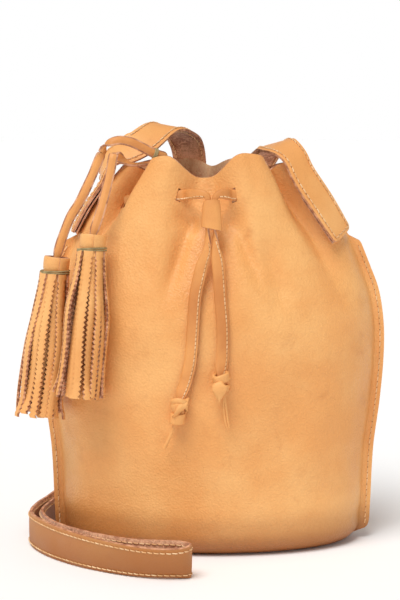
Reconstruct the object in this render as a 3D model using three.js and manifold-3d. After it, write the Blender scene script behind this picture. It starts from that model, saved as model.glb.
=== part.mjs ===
// Drawstring bucket bag in vegetable-tanned leather.
// Millimetres, +Z up. The front faces -Y and the origin is the middle of the base panel's underside.
import * as THREE from 'three';
import { mergeVertices } from 'three/addons/utils/BufferGeometryUtils.js';
import Module from 'manifold-3d';

const wasm = await Module();
wasm.setup();

// ---------- driving dimensions ----------

const LEATHER = 2.2;            // panel leather thickness
const GAP = 0.4;                // free space between pieces that touch on the real bag
const ROLL = 16;                // radius of the turned-under bottom edge
const FIN_WIDTH = 8;            // flat side seam that stands out from the body
const FIN_BOTTOM = 6;           // the fins stop this far above the ground
const FIN_TOP = 226;            // the fins run under the strap ends here
const FIN_STUB = 0.8;           // what is left of the fin above and below
const FIN_STITCH_SHARE = 0.6;   // place of the stitch row across the fin
const SEAM_STEP = 9;            // from one point of a seam thread to the next
const NECK = 232;               // above this height the rows follow the wavy rim
const TOP = 290;                // nominal height of the rim
const RIM_SIDE = 283;           // rim height at the side seams
const RIM_RISE_FRONT = 13;      // how much higher the rim stands at the front
const RIM_RISE_BACK = 4;        // and at the back
const GATHER_LOW = 168;         // folds start here
const GATHER_HIGH = 268;        // folds are at full depth here

// Height, half width and half depth of the oval body.
const SECTIONS = [
  [0, 110.5, 62],
  [30, 111.8, 63.5],
  [71, 113.6, 65],
  [107, 118, 66.5],
  [140, 120.6, 66.5],
  [166, 120.3, 65.5],
  [190, 116.5, 62.5],
  [209, 109.5, 59],
  [232, 100, 54.5],
  [257, 88, 50],
  [275, 77, 47.5],
  [290, 66, 46],
];

// Gathered folds: angle at the rim, turn per millimetre below it, depth, half spread in degrees, and how far
// the rim dips there.
const FOLDS = [
  { angle: -93.5, turn: 0, depth: 15, spread: 9, dip: 21 },
  { angle: -50, turn: 0.13, depth: 16, spread: 8, dip: 12 },
  { angle: -147, turn: -0.13, depth: 17, spread: 8, dip: 10 },
  { angle: 90, turn: 0, depth: 15, spread: 9, dip: 6 },
  { angle: 47, turn: -0.1, depth: 15, spread: 8, dip: 6 },
  { angle: 134, turn: 0.1, depth: 15, spread: 8, dip: 6 },
];

const STRAP_WIDTH = 25;
const STRAP_THICKNESS = 3.2;
const BACKING_THICKNESS = 2;
const THREAD_RADIUS = 0.5;
const STITCH_INSET = 3;         // from the strap's edge to its row of stitches
const STITCH_END_SHARE = 0.06;  // the row stops this share of the sewn stretch before its ends

const CORD_WIDTH = 8;           // folded and stitched leather cord
const CORD_THICKNESS = 3;
const CORD_END_WIDTH = 9;
const PINCHED_WIDTH = 4.4;      // cord squeezed inside the keeper
const PINCHED_THICKNESS = 3.8;
const STRAND_OFFSET = 2.7;      // from the keeper's centre to each strand
const TASSEL_CORD_WIDTH = 7;

const KEEPER_CENTRE = new THREE.Vector3(-1.2, -57, 250.5);
const KEEPER_HEIGHT = 21;
const KEEPER_WALL = 1.8;
const KEEPER_HALF_HOLE = [5.5, 2.6];
const STRAND_SLOPE = 0.13;      // forward lean of the strands, run over drop
const STRAND_BOTTOM = 228;      // the fixed strands end here, the free cord ends start just below

const FRINGE_LENGTH = 118;
const FRINGE_HEAD_RADIUS = 10;
const FRINGE_FOOT_RADIUS = 17;
const FRINGE_HEAD_HEIGHT = 15;
const FRINGE_SEGMENTS = 20;
const CHAMFER = 1.5;
const TIE_DROP = 11;            // from the head's top to the tie thread
const TIE_RADIUS = 0.8;
const TIE_POINTS = 24;

// ---------- materials ----------

const HONEY = 0xe3a25c;
const SHADED_HONEY = 0xd9954f;
const RAW_EDGE = 0xb67a52;
const CREAM_THREAD = 0xe8c79a;
const OLIVE_THREAD = 0xa9a06a;

function leather(colour) {
  return new THREE.MeshStandardMaterial({ color: colour, roughness: 0.55, metalness: 0 });
}

function thread(colour) {
  return new THREE.MeshStandardMaterial({ color: colour, roughness: 0.85, metalness: 0 });
}

// ---------- general shape helpers ----------

const degrees = THREE.MathUtils.degToRad;
const lerp = THREE.MathUtils.lerp;
const smoothstep = THREE.MathUtils.smoothstep;

function vector(values) {
  return new THREE.Vector3(...values);
}

// Joins a row of rings, each a list of points, into one closed solid. Every ring has the same even count of
// points, and its ends are closed by strips between its first and second half.
function closedSolid(rings, isLoop = false) {
  const count = rings[0].length;
  const faces = [];
  const last = isLoop ? rings.length : rings.length - 1;
  for (let i = 0; i < last; i += 1) {
    const here = i * count;
    const next = ((i + 1) % rings.length) * count;
    for (let k = 0; k < count; k += 1) {
      const beside = (k + 1) % count;
      faces.push([here + k, here + beside, next + beside], [here + k, next + beside, next + k]);
    }
  }
  if (!isLoop) {
    const end = (rings.length - 1) * count;
    for (let k = 0; k < count / 2 - 1; k += 1) {
      const across = count - 1 - k;
      faces.push([end + k, end + k + 1, end + across - 1], [end + k, end + across - 1, end + across]);
      faces.push([k, across - 1, k + 1], [k, across, across - 1]);
    }
  }
  const points = rings.flat();
  let volume = 0;
  for (const [a, b, c] of faces) {
    volume += points[a].dot(points[b].clone().cross(points[c]));
  }
  const indices = volume < 0 ? faces.map(([a, b, c]) => [a, c, b]) : faces;
  const geometry = new THREE.BufferGeometry();
  const numbers = points.flatMap((point) => point.toArray());
  geometry.setAttribute('position', new THREE.Float32BufferAttribute(numbers, 3));
  geometry.setIndex(indices.flat());
  geometry.computeVertexNormals();
  return geometry;
}

// A route is a smooth curve with a width direction at every point of it.
function makeRoute(stations) {
  const centre = new THREE.CatmullRomCurve3(stations.map((s) => vector(s.at)), false, 'catmullrom', 0.5);
  const across = new THREE.CatmullRomCurve3(stations.map((s) => vector(s.across)), false, 'catmullrom', 0.5);
  return (t) => {
    const tangent = centre.getTangent(t);
    const width = across.getPoint(t);
    width.addScaledVector(tangent, -width.dot(tangent)).normalize();
    const normal = tangent.clone().cross(width).normalize();
    return { point: centre.getPoint(t), width, normal };
  };
}

function placeOn(frame, alongWidth, alongNormal) {
  const shifted = frame.point.clone().addScaledVector(frame.width, alongWidth);
  return shifted.addScaledVector(frame.normal, alongNormal);
}

// A flat strip of rectangular section along a route.
function flatStrip(route, from, to, steps, width, thickness, lift = 0) {
  const rings = [];
  for (let i = 0; i <= steps; i += 1) {
    const frame = route(lerp(from, to, i / steps));
    rings.push([
      placeOn(frame, -width / 2, lift - thickness / 2),
      placeOn(frame, width / 2, lift - thickness / 2),
      placeOn(frame, width / 2, lift + thickness / 2),
      placeOn(frame, -width / 2, lift + thickness / 2),
    ]);
  }
  return closedSolid(rings);
}

// A cord of oval section along a route. size(t) gives its width and thickness.
function ovalCord(route, steps, size, sides = 6) {
  const rings = [];
  for (let i = 0; i <= steps; i += 1) {
    const t = i / steps;
    const frame = route(t);
    const [width, thickness] = size(t);
    const ring = [];
    for (let k = 0; k < sides; k += 1) {
      const turn = ((k + 0.5) / sides) * Math.PI * 2;
      ring.push(placeOn(frame, (Math.cos(turn) * width) / 2, (Math.sin(turn) * thickness) / 2));
    }
    rings.push(ring);
  }
  return closedSolid(rings);
}

// Points of a circle in the plane of two perpendicular directions.
function circlePoints(centre, u, v, radius, count) {
  return Array.from({ length: count }, (_, i) => {
    const turn = (i / count) * Math.PI * 2;
    const beside = centre.clone().addScaledVector(u, radius * Math.cos(turn));
    return beside.addScaledVector(v, radius * Math.sin(turn));
  });
}

// A round thread through a list of points.
function threadAlong(points, isLoop, radius = THREAD_RADIUS, sides = 6) {
  const rings = points.map((point, i) => {
    const before = points[isLoop ? (i + points.length - 1) % points.length : Math.max(i - 1, 0)];
    const after = points[isLoop ? (i + 1) % points.length : Math.min(i + 1, points.length - 1)];
    const tangent = after.clone().sub(before).normalize();
    const helper = Math.abs(tangent.z) > 0.8 ? vector([0, 1, 0]) : vector([0, 0, 1]);
    const u = helper.cross(tangent).normalize();
    const v = tangent.clone().cross(u);
    return circlePoints(point, u, v, radius, sides);
  });
  return closedSolid(rings, isLoop);
}

// A solid of revolution about the line from one point towards another. The profile lists radius and drop from
// the first point.
function turnedAlong(top, bottom, profile, segments) {
  const axis = bottom.clone().sub(top);
  const outline = profile.map(([radius, drop]) => new THREE.Vector2(radius, drop));
  const geometry = new THREE.LatheGeometry(outline, segments);
  const turn = new THREE.Quaternion().setFromUnitVectors(vector([0, 1, 0]), axis.normalize());
  geometry.applyQuaternion(turn);
  geometry.translate(top.x, top.y, top.z);
  return geometry;
}

function toManifold(geometry) {
  const plain = geometry.clone();
  plain.deleteAttribute('normal');
  plain.deleteAttribute('uv');
  const merged = mergeVertices(plain, 1e-3);
  return new wasm.Manifold(new wasm.Mesh({
    numProp: 3,
    vertProperties: new Float32Array(merged.attributes.position.array),
    triVerts: new Uint32Array(merged.index.array),
  }));
}

function fromManifold(solid) {
  const mesh = solid.getMesh();
  const geometry = new THREE.BufferGeometry();
  geometry.setAttribute('position', new THREE.Float32BufferAttribute(mesh.vertProperties, 3));
  geometry.setIndex(Array.from(mesh.triVerts));
  geometry.computeVertexNormals();
  return geometry;
}

// ---------- the body surface ----------

// Half width and half depth at a height, on a smooth line through SECTIONS.
function ovalAt(level) {
  const z = Math.min(Math.max(level, SECTIONS[0][0]), TOP);
  let i = 0;
  while (i < SECTIONS.length - 2 && SECTIONS[i + 1][0] < z) {
    i += 1;
  }
  const before = SECTIONS[Math.max(i - 1, 0)];
  const low = SECTIONS[i];
  const high = SECTIONS[i + 1];
  const after = SECTIONS[Math.min(i + 2, SECTIONS.length - 1)];
  const span = high[0] - low[0];
  const u = (z - low[0]) / span;
  return [1, 2].map((k) => {
    const slopeLow = ((high[k] - before[k]) / (high[0] - before[0])) * span;
    const slopeHigh = ((after[k] - low[k]) / (after[0] - low[0])) * span;
    const start = (1 + 2 * u) * (1 - u) ** 2 * low[k] + u * (1 - u) ** 2 * slopeLow;
    return start + u * u * (3 - 2 * u) * high[k] + u * u * (u - 1) * slopeHigh;
  });
}

// How far an angle lies into a fold, 0 to 1.
function foldShare(fold, angle, level, widen = 1) {
  const centre = fold.angle + fold.turn * (TOP - level);
  const apart = ((angle - centre + 540) % 360) - 180;
  return Math.exp(-((apart / (fold.spread * widen)) ** 2));
}

function rimHeight(angle) {
  const dip = FOLDS.reduce((sum, fold) => sum + fold.dip * foldShare(fold, angle, TOP), 0);
  const sine = Math.sin(degrees(angle));
  return RIM_SIDE + (sine < 0 ? RIM_RISE_FRONT : RIM_RISE_BACK) * sine ** 2 - dip;
}

function heightOf(angle, level) {
  return level <= NECK ? level : NECK + ((level - NECK) * (rimHeight(angle) - NECK)) / (TOP - NECK);
}

function levelOf(angle, height) {
  return height <= NECK ? height : NECK + ((height - NECK) * (TOP - NECK)) / (rimHeight(angle) - NECK);
}

// A point of the outside of the leather. Angles run from +X at 0 to the front at -90 degrees. inset moves it
// inwards, and widen spreads the folds, which gives the line of a cord that bridges the bulges inside.
function bodyPoint(angle, level, inset = 0, widen = 1) {
  const [a, b] = ovalAt(level);
  const turn = degrees(angle);
  const gather = smoothstep(level, GATHER_LOW, GATHER_HIGH);
  const depths = FOLDS.map((fold) => fold.depth * foldShare(fold, angle, level, widen));
  const normal = new THREE.Vector2(Math.cos(turn) / a, Math.sin(turn) / b).normalize();
  const inwards = Math.max(...depths) * gather + inset;
  return new THREE.Vector3(
    a * Math.cos(turn) - normal.x * inwards,
    b * Math.sin(turn) - normal.y * inwards,
    heightOf(angle, level),
  );
}

function bodyNormal(angle, level) {
  const step = 1;
  const around = bodyPoint(angle + step, level).sub(bodyPoint(angle - step, level));
  const up = bodyPoint(angle, level + step).sub(bodyPoint(angle, level - step));
  return around.cross(up).normalize();
}

// ---------- panels ----------

const WALL_LEVELS = [ROLL, 50, 92, 134, 166, 188, 206, 220, 232, 244, 256, 267, 278, TOP];
const ROLL_TURNS = [90, 60, 30];
const PANEL_COLUMNS = 42;
const SIDE_START = 6;           // degrees from the seam to the first column of the wall
const FIN_ROOT = 0.3;           // share of the fin's width at its second column

function finWidthAt(height) {
  return height < FIN_BOTTOM || height > FIN_TOP + 1 ? FIN_STUB : FIN_WIDTH;
}

// Outside and inside point of one column at every row, from the bottom edge to the rim.
function panelColumn(side, place) {
  const outside = [];
  const inside = [];
  const add = (level, height, innerHeight, inset, innerInset) => {
    const [a] = ovalAt(level);
    if (place.fin === undefined) {
      const low = bodyPoint(side * place.angle, level, inset);
      const high = bodyPoint(side * place.angle, level, innerInset);
      outside.push(height === undefined ? low : low.setZ(height));
      inside.push(innerHeight === undefined ? high : high.setZ(innerHeight));
      return;
    }
    const z = height === undefined ? heightOf(place.angle, level) : height;
    const innerZ = innerHeight === undefined ? z : innerHeight;
    const reach = finWidthAt(z) * place.fin;
    const direction = Math.sign(Math.cos(degrees(place.angle)));
    const innerX = place.fin === 1 ? a - inset + reach : a - innerInset;
    outside.push(new THREE.Vector3(direction * (a - inset + reach), side * (GAP / 2 + LEATHER), z));
    inside.push(new THREE.Vector3(direction * innerX, side * (GAP / 2), innerZ));
  };
  for (const turn of ROLL_TURNS) {
    const sin = Math.sin(degrees(turn));
    const cos = Math.cos(degrees(turn));
    const tight = ROLL - LEATHER;
    add(ROLL * (1 - sin), ROLL * (1 - sin), ROLL - tight * sin, ROLL * (1 - cos), ROLL - tight * cos);
  }
  for (const level of WALL_LEVELS) {
    add(level, undefined, undefined, 0, LEATHER);
  }
  return [...outside, ...inside.reverse()];
}

function makePanel(side) {
  const places = [{ angle: 0, fin: 1 }, { angle: 0, fin: FIN_ROOT }];
  for (let i = 0; i <= PANEL_COLUMNS; i += 1) {
    places.push({ angle: lerp(SIDE_START, 180 - SIDE_START, i / PANEL_COLUMNS) });
  }
  places.push({ angle: 180, fin: FIN_ROOT }, { angle: 180, fin: 1 });
  return closedSolid(places.map((place) => panelColumn(side, place)));
}

const BASE_POINTS = 72;
const BASE_THREAD_POINTS = 44;
const BASE_THREAD_INSET = 2;    // from the base panel's edge to its stitches

// A closed ring of points at a constant distance inside the bottom outline.
function ringInside(inset, height, count) {
  return Array.from({ length: count }, (_, i) => bodyPoint((i / count) * 360, 0, inset).setZ(height));
}

function makeBasePanel() {
  const outline = ringInside(ROLL + GAP, 0, BASE_POINTS);
  const shape = new THREE.Shape(outline.map((point) => new THREE.Vector2(point.x, point.y)));
  return new THREE.ExtrudeGeometry(shape, { depth: LEATHER, bevelEnabled: false });
}

function makeBaseSeamThread() {
  const height = LEATHER + GAP + THREAD_RADIUS;
  return threadAlong(ringInside(ROLL + BASE_THREAD_INSET, height, BASE_THREAD_POINTS), true);
}

// The row of stitches through a fin, laid on its front face.
function makeSideSeamThread(direction) {
  const y = -(GAP * 1.5 + LEATHER + THREAD_RADIUS);
  const points = [];
  for (let z = FIN_BOTTOM + THREAD_RADIUS * 6; z <= FIN_TOP - THREAD_RADIUS * 4; z += SEAM_STEP) {
    const [a] = ovalAt(z);
    points.push(new THREE.Vector3(direction * (a + FIN_WIDTH * FIN_STITCH_SHARE), y, z));
  }
  return threadAlong(points, false);
}

// ---------- shoulder strap ----------

const TAB_LIFT = 6.2;           // strap centre above the panel at its sewn ends

function tabStation(angle, level) {
  const normal = bodyNormal(angle, level);
  const slope = bodyPoint(angle, level + 2).sub(bodyPoint(angle, level - 2)).normalize();
  const at = bodyPoint(angle, level).addScaledVector(normal, TAB_LIFT);
  return { at: at.toArray(), across: slope.cross(normal).toArray() };
}

function turnedOver(station) {
  return { at: station.at, across: station.across.map((value) => -value) };
}

// The sewn ends lie on the shoulders of the body; the rest of the strip arches over the mouth, falls behind the
// bag, stands on its edge round the left side and turns back in a hairpin at the front, then returns behind.
// Half a turn behind the bag lets the same side face outwards at both ends.
const LEFT_TAB = [tabStation(-178, 232), tabStation(-178, 252), tabStation(-177, 272)].map(turnedOver);
const RIGHT_TAB = [tabStation(-32, 276), tabStation(-29, 256), tabStation(-24, 231)];
const STRAP_STATIONS = [
  ...LEFT_TAB,
  { at: [-80, -4.5, 283.5], across: [-0.3, 0.92, 0.2] },
  { at: [-70, -6, 292], across: [-0.5, 0.8, 0.3] },
  { at: [-54, -8, 299], across: [-0.84, 0.38, 0.39] },
  { at: [-37, 11, 310.5], across: [-0.93, 0.3, 0.2] },
  { at: [-25, 33, 305], across: [-0.97, 0.1, 0.1] },
  { at: [-18, 48, 290], across: [-1, 0, 0] },
  { at: [-17, 60, 255], across: [-1, -0.1, 0.1] },
  { at: [-22, 69, 215], across: [-0.91, -0.4, 0.12] },
  { at: [-32, 76.5, 170], across: [-0.62, -0.77, 0.1] },
  { at: [-46, 79, 125], across: [0.19, -0.96, -0.1] },
  { at: [-63, 79, 84], across: [0.78, -0.43, -0.39] },
  { at: [-82, 74, 50], across: [0.67, 0.18, -0.67] },
  { at: [-100, 61, 27], across: [0.36, 0.34, -0.85] },
  { at: [-115, 41, 15.5], across: [0.1, 0.2, -0.96] },
  { at: [-124, 14, 12.8], across: [0, 0, -1] },
  { at: [-128, -17, 12.8], across: [0, 0, -1] },
  { at: [-117, -50, 12.8], across: [0, 0, -1] },
  { at: [-92, -80, 12.8], across: [0, 0, -1] },
  { at: [-64, -99.5, 12.8], across: [0, 0, -1] },
  { at: [-42, -106.5, 12.8], across: [0, 0, -1] },
  { at: [-24, -109, 12.8], across: [0, 0, -1] },
  { at: [-16.5, -114.8, 12.8], across: [0, 0.2, -0.98] },
  { at: [-25, -120.5, 12.6], across: [0, 0.4, -0.92] },
  { at: [-46, -118.5, 12.6], across: [0, 0.4, -0.92] },
  { at: [-70, -106.5, 12.7], across: [0.08, 0.26, -0.96] },
  { at: [-98, -84, 12.8], across: [0.06, 0.1, -0.99] },
  { at: [-121.5, -54.5, 12.8], across: [0, 0, -1] },
  { at: [-135.5, -23, 12.8], across: [0, 0, -1] },
  { at: [-134, 5, 12.8], across: [0, 0, -1] },
  { at: [-125, 34, 13.6], across: [0.1, 0.15, -0.98] },
  { at: [-112, 63, 19], across: [0.25, 0.3, -0.9] },
  { at: [-97, 86, 35], across: [0.45, 0.35, -0.78] },
  { at: [-78, 100, 62], across: [0.62, 0.35, -0.6] },
  { at: [-60, 102, 97], across: [0.78, 0.3, -0.47] },
  { at: [-42, 99, 140], across: [0.88, 0.25, -0.35] },
  { at: [-20, 92, 186], across: [0.94, 0.2, -0.25] },
  { at: [4, 83, 228], across: [0.97, 0.1, -0.15] },
  { at: [23, 70, 261], across: [1, 0.1, -0.1] },
  { at: [38, 52, 284], across: [0.97, 0.25, 0] },
  { at: [44, 31, 294.5], across: [0.85, 0.5, 0.1] },
  { at: [46.5, 9, 297.5], across: [0.68, 0.7, 0.2] },
  { at: [51.5, -11, 297], across: [0.53, 0.77, 0.35] },
  { at: [59.5, -23, 290], across: [0.52, 0.78, 0.35] },
  ...RIGHT_TAB,
];
const STEPS_PER_SPAN = 3;
const strapRoute = makeRoute(STRAP_STATIONS);
const STRAP_SPANS = STRAP_STATIONS.length - 1;
const STRAP_STEPS = STRAP_SPANS * STEPS_PER_SPAN;
const TAB_SPAN = (LEFT_TAB.length - 1) / STRAP_SPANS;
const TAB_STEPS = (LEFT_TAB.length - 1) * STEPS_PER_SPAN;

// The sewn part of either end, as a stretch of the strap's route.
function tabStretch(isLeft) {
  return isLeft ? [0, TAB_SPAN] : [1 - TAB_SPAN, 1];
}

// The side of the strap that faces away from the bag has this sign along the route's normal.
function outwardSign(isLeft) {
  const frame = strapRoute(isLeft ? 0 : 1);
  return Math.sign(frame.normal.dot(vector([isLeft ? -1 : 1, -0.3, 0])));
}

function makeStrapBacking(isLeft) {
  const [from, to] = tabStretch(isLeft);
  const drop = -outwardSign(isLeft) * (STRAP_THICKNESS / 2 + 2 * GAP + BACKING_THICKNESS / 2);
  return flatStrip(strapRoute, from, to, TAB_STEPS, STRAP_WIDTH - 1, BACKING_THICKNESS, drop);
}

// The row of stitches runs round the sewn end.
function makeStrapThread(isLeft) {
  const [from, to] = tabStretch(isLeft);
  const lift = outwardSign(isLeft) * (STRAP_THICKNESS / 2 + GAP + THREAD_RADIUS);
  const half = STRAP_WIDTH / 2 - STITCH_INSET;
  const margin = STITCH_END_SHARE * (to - from);
  const row = Array.from({ length: TAB_STEPS + 1 }, (_, i) => {
    return strapRoute(lerp(from + margin, to - margin, i / TAB_STEPS));
  });
  const up = row.map((frame) => placeOn(frame, half, lift));
  const down = row.map((frame) => placeOn(frame, -half, lift)).reverse();
  return threadAlong([...up, ...down], true);
}

// ---------- drawstring ----------

// Angles of the slots in pairs. Between the two of a pair the cord shows outside.
const OUTSIDE_SPANS = [[39, 55], [76, 104], [207, 221]];
const FRONT_SLOTS = [-79, -108];
const SLOT_RAMP = 6;            // degrees over which the cord passes through the wall
const CORD_STEP = 4;            // degrees from one cord station to the next
const CORD_STAND_OFF = CORD_THICKNESS / 2 + 0.7;
const BRIDGE_SPREAD = 1.8;      // the cord bridges the bulges inside as if the folds were this much wider
const SLOT_PLAY = 1.6;          // how much wider than the cord a slot is

function cordHeight(angle) {
  return 254 + 10 * Math.sin(degrees(angle)) ** 2;
}

// 1 where the cord is outside the wall, 0 inside, and between them in a slot.
function outsideShare(angle) {
  return OUTSIDE_SPANS.reduce((share, [from, to]) => {
    const into = smoothstep(angle, from - SLOT_RAMP / 2, from + SLOT_RAMP / 2);
    const out = smoothstep(angle, to - SLOT_RAMP / 2, to + SLOT_RAMP / 2);
    return Math.max(share, into * (1 - out));
  }, 0);
}

function cordStation(angle, share) {
  const level = levelOf(angle, cordHeight(angle));
  const inner = bodyPoint(angle, level, LEATHER + CORD_STAND_OFF, BRIDGE_SPREAD);
  const outer = bodyPoint(angle, level, -CORD_STAND_OFF);
  return { at: inner.lerp(outer, share).toArray(), across: [0, 0, 1] };
}

function strandPoint(direction, height) {
  const y = KEEPER_CENTRE.y + STRAND_SLOPE * (height - KEEPER_CENTRE.z);
  return [KEEPER_CENTRE.x + direction * STRAND_OFFSET, y, height];
}

function strandStations(direction) {
  const heights = [STRAND_BOTTOM, 238, 250, 262.5];
  const stations = heights.map((z) => ({ at: strandPoint(direction, z), across: [-direction, 0, 0] }));
  const [x, y] = strandPoint(direction, 265.5);
  stations.push({ at: [x + direction * 3, y + 1, 265.5], across: [-direction * 0.7, 0, 0.7] });
  return stations;
}

function drawstringStations() {
  const [right, left] = FRONT_SLOTS;
  const stations = [...strandStations(1), cordStation(right - 3, 1), cordStation(right + 3, 0.2)];
  for (let angle = right + 8; angle <= left + 360 - 8; angle += CORD_STEP) {
    stations.push(cordStation(angle, outsideShare(angle)));
  }
  stations.push(cordStation(left + 360 - 3, 0.2), cordStation(left + 360 + 3, 1));
  return [...stations, ...strandStations(-1).reverse()];
}

// A strand is squeezed while it passes the keeper and widens away from it. The slots in the panels are cut with
// the same cord, made wider by their play.
function makeDrawstring() {
  const stations = drawstringStations();
  const route = makeRoute(stations);
  const steps = stations.length - 1;
  const squeezed = (strandStations(1).length - 1) / steps;
  const size = (t) => {
    const away = Math.min(t, 1 - t);
    const share = smoothstep(away, squeezed, squeezed * 1.6);
    return [lerp(PINCHED_WIDTH, CORD_WIDTH, share), lerp(PINCHED_THICKNESS, CORD_THICKNESS, share)];
  };
  const slotSize = (t) => size(t).map((value) => value + SLOT_PLAY);
  return { solid: ovalCord(route, steps, size), slotCutter: ovalCord(route, steps, slotSize) };
}

// The keeper is a short band of leather closed round both strands.
function makeKeeper() {
  const [halfX, halfY] = KEEPER_HALF_HOLE;
  const outline = roundedRectangle(halfX + KEEPER_WALL, halfY + KEEPER_WALL, 3.4);
  outline.holes.push(roundedRectangle(halfX, halfY, 1.8));
  const options = { depth: KEEPER_HEIGHT, bevelEnabled: false, curveSegments: 4 };
  const geometry = new THREE.ExtrudeGeometry(outline, options);
  geometry.translate(0, 0, -KEEPER_HEIGHT / 2);
  geometry.rotateX(-Math.atan(STRAND_SLOPE));
  geometry.translate(KEEPER_CENTRE.x, KEEPER_CENTRE.y, KEEPER_CENTRE.z);
  return geometry;
}

function roundedRectangle(halfX, halfY, radius) {
  const shape = new THREE.Shape();
  shape.moveTo(halfX, -halfY + radius);
  shape.lineTo(halfX, halfY - radius);
  shape.absarc(halfX - radius, halfY - radius, radius, 0, Math.PI / 2, false);
  shape.lineTo(-halfX + radius, halfY);
  shape.absarc(-halfX + radius, halfY - radius, radius, Math.PI / 2, Math.PI, false);
  shape.lineTo(-halfX, -halfY + radius);
  shape.absarc(-halfX + radius, -halfY + radius, radius, Math.PI, Math.PI * 1.5, false);
  shape.lineTo(halfX - radius, -halfY);
  shape.absarc(halfX - radius, -halfY + radius, radius, Math.PI * 1.5, Math.PI * 2, false);
  return shape;
}

const LEFT_END = [
  [-4.4, -60.9, 224.6],
  [-7.6, -62.2, 216],
  [-10.6, -63.8, 204],
  [-13, -65.8, 191],
  [-14.6, -68, 168],
  [-16.2, -69, 147],
  [-19.6, -69.2, 132],
  [-22.6, -69.4, 122.5],
];
const RIGHT_END = [
  [2, -60.9, 224.6],
  [3.4, -62.2, 216],
  [4.4, -63.8, 204],
  [5.2, -65.8, 191],
  [6.8, -68, 170],
  [6.7, -69, 150],
  [5.8, -69.2, 141],
];

const CORD_END_STEPS = 20;
const WIDENING_SHARE = 0.2;     // a cord end reaches its full width over this share of its length

function makeCordEnd(points) {
  const route = makeRoute(points.map((at) => ({ at, across: [1, 0, 0] })));
  const size = (t) => {
    const share = smoothstep(t, 0, WIDENING_SHARE);
    return [lerp(PINCHED_WIDTH, CORD_END_WIDTH, share), CORD_THICKNESS];
  };
  return ovalCord(route, CORD_END_STEPS, size);
}

// Radius and drop of the knot's outline: a ball with a wrapped collar below it.
const KNOT_PROFILE = [
  [0, 0],
  [4.6, 0.8],
  [7, 4],
  [7.2, 7.5],
  [6, 10.5],
  [5.4, 12],
  [5.6, 17],
  [4, 19.5],
  [0, 20.5],
];
const KNOT_SEGMENTS = 16;
const TAIL_START_DROP = 16;     // the tail starts inside the collar
const TAIL_SIZE = [2.6, 2];
const TAIL_STEPS = 6;
const LEFT_KNOT = {
  top: [-23.6, -72.8, 120.9],
  lean: [-0.12, 0, -1],
  tail: [[-29.5, -72, 96], [-35.2, -71.5, 83.4]],
};
const RIGHT_KNOT = {
  top: [5.2, -74, 139.1],
  lean: [0, 0, -1],
  tail: [[7.5, -73, 110], [10.6, -72.5, 98.7]],
};

// A tight knot with a thin tail.
function makeKnot({ top, lean, tail }) {
  const start = vector(top);
  const along = vector(lean).normalize();
  const knot = toManifold(turnedAlong(start, start.clone().add(along), KNOT_PROFILE, KNOT_SEGMENTS));
  const tailStart = start.clone().addScaledVector(along, TAIL_START_DROP);
  const route = makeRoute([tailStart.toArray(), ...tail].map((at) => ({ at, across: [1, 0, 0] })));
  const tailSolid = toManifold(ovalCord(route, TAIL_STEPS, () => TAIL_SIZE));
  return fromManifold(knot.add(tailSolid));
}

// ---------- tassels ----------

const LOOP_STATIONS = [
  { at: [-80.6, -34.5, 293.4], across: [0.75, 0.6, 0.2] },
  { at: [-77.4, -33, 299], across: [0.5, 0.6, 0.5] },
  { at: [-69, -31, 302.4], across: [0, 0.4, 0.9] },
  { at: [-60, -29, 301.2], across: [0, 0.2, 1] },
  { at: [-51, -27, 297], across: [0, 0.1, 1] },
  { at: [-42, -25, 292.4], across: [0, 0.1, 1] },
  { at: [-34, -19.5, 289.6], across: [-0.2, 0.1, 1] },
  { at: [-38, -12, 286.8], across: [0.1, 0.6, 0.8] },
  { at: [-46, -11, 285.6], across: [0.2, 0.9, 0.3] },
  { at: [-54, -20.5, 284.4], across: [0.2, 0.9, 0.1] },
  { at: [-61, -27, 285.4], across: [0.3, 0.9, 0.1] },
  { at: [-66.5, -30.5, 289], across: [0.7, 0.6, 0.2] },
  { at: [-69.8, -36, 292.6], across: [0.9, 0.2, 0.2] },
  { at: [-71.6, -38.6, 292.6], across: [1, 0, 0] },
];
const LEFT_TASSEL_CORD = [
  [-82.2, -34.6, 289.6],
  [-84.6, -35, 284],
  [-88, -36, 276],
  [-96.1, -38, 259],
  [-103.5, -38.5, 246.7],
  [-109.4, -38, 232],
  [-112.2, -37.6, 222.8],
];
const RIGHT_TASSEL_CORD = [
  [-72.4, -40.2, 289.4],
  [-74.2, -42, 279],
  [-77.8, -46, 264],
  [-81.6, -51, 250],
  [-84.6, -54, 240.8],
];
const LOOP_STEPS = 36;
const TASSEL_CORD_STEPS = 14;
const BOUND_STATION = 5;        // the loop is tied at this station

function makeTasselLoop() {
  return ovalCord(makeRoute(LOOP_STATIONS), LOOP_STEPS, () => [TASSEL_CORD_WIDTH, CORD_THICKNESS]);
}

// The thread that ties the loop tight beside the strap.
function makeLoopBinding() {
  const frame = makeRoute(LOOP_STATIONS)(BOUND_STATION / (LOOP_STATIONS.length - 1));
  const clearance = GAP + TIE_RADIUS;
  const points = Array.from({ length: TIE_POINTS }, (_, i) => {
    const turn = (i / TIE_POINTS) * Math.PI * 2;
    const across = (TASSEL_CORD_WIDTH / 2 + clearance) * Math.cos(turn);
    const out = (CORD_THICKNESS / 2 + clearance) * Math.sin(turn);
    return placeOn(frame, across, out);
  });
  return threadAlong(points, true, TIE_RADIUS);
}

function makeTasselCord(points) {
  const route = makeRoute(points.map((at) => ({ at, across: [1, 0, 0] })));
  return ovalCord(route, TASSEL_CORD_STEPS, () => [TASSEL_CORD_WIDTH, CORD_THICKNESS]);
}

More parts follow.
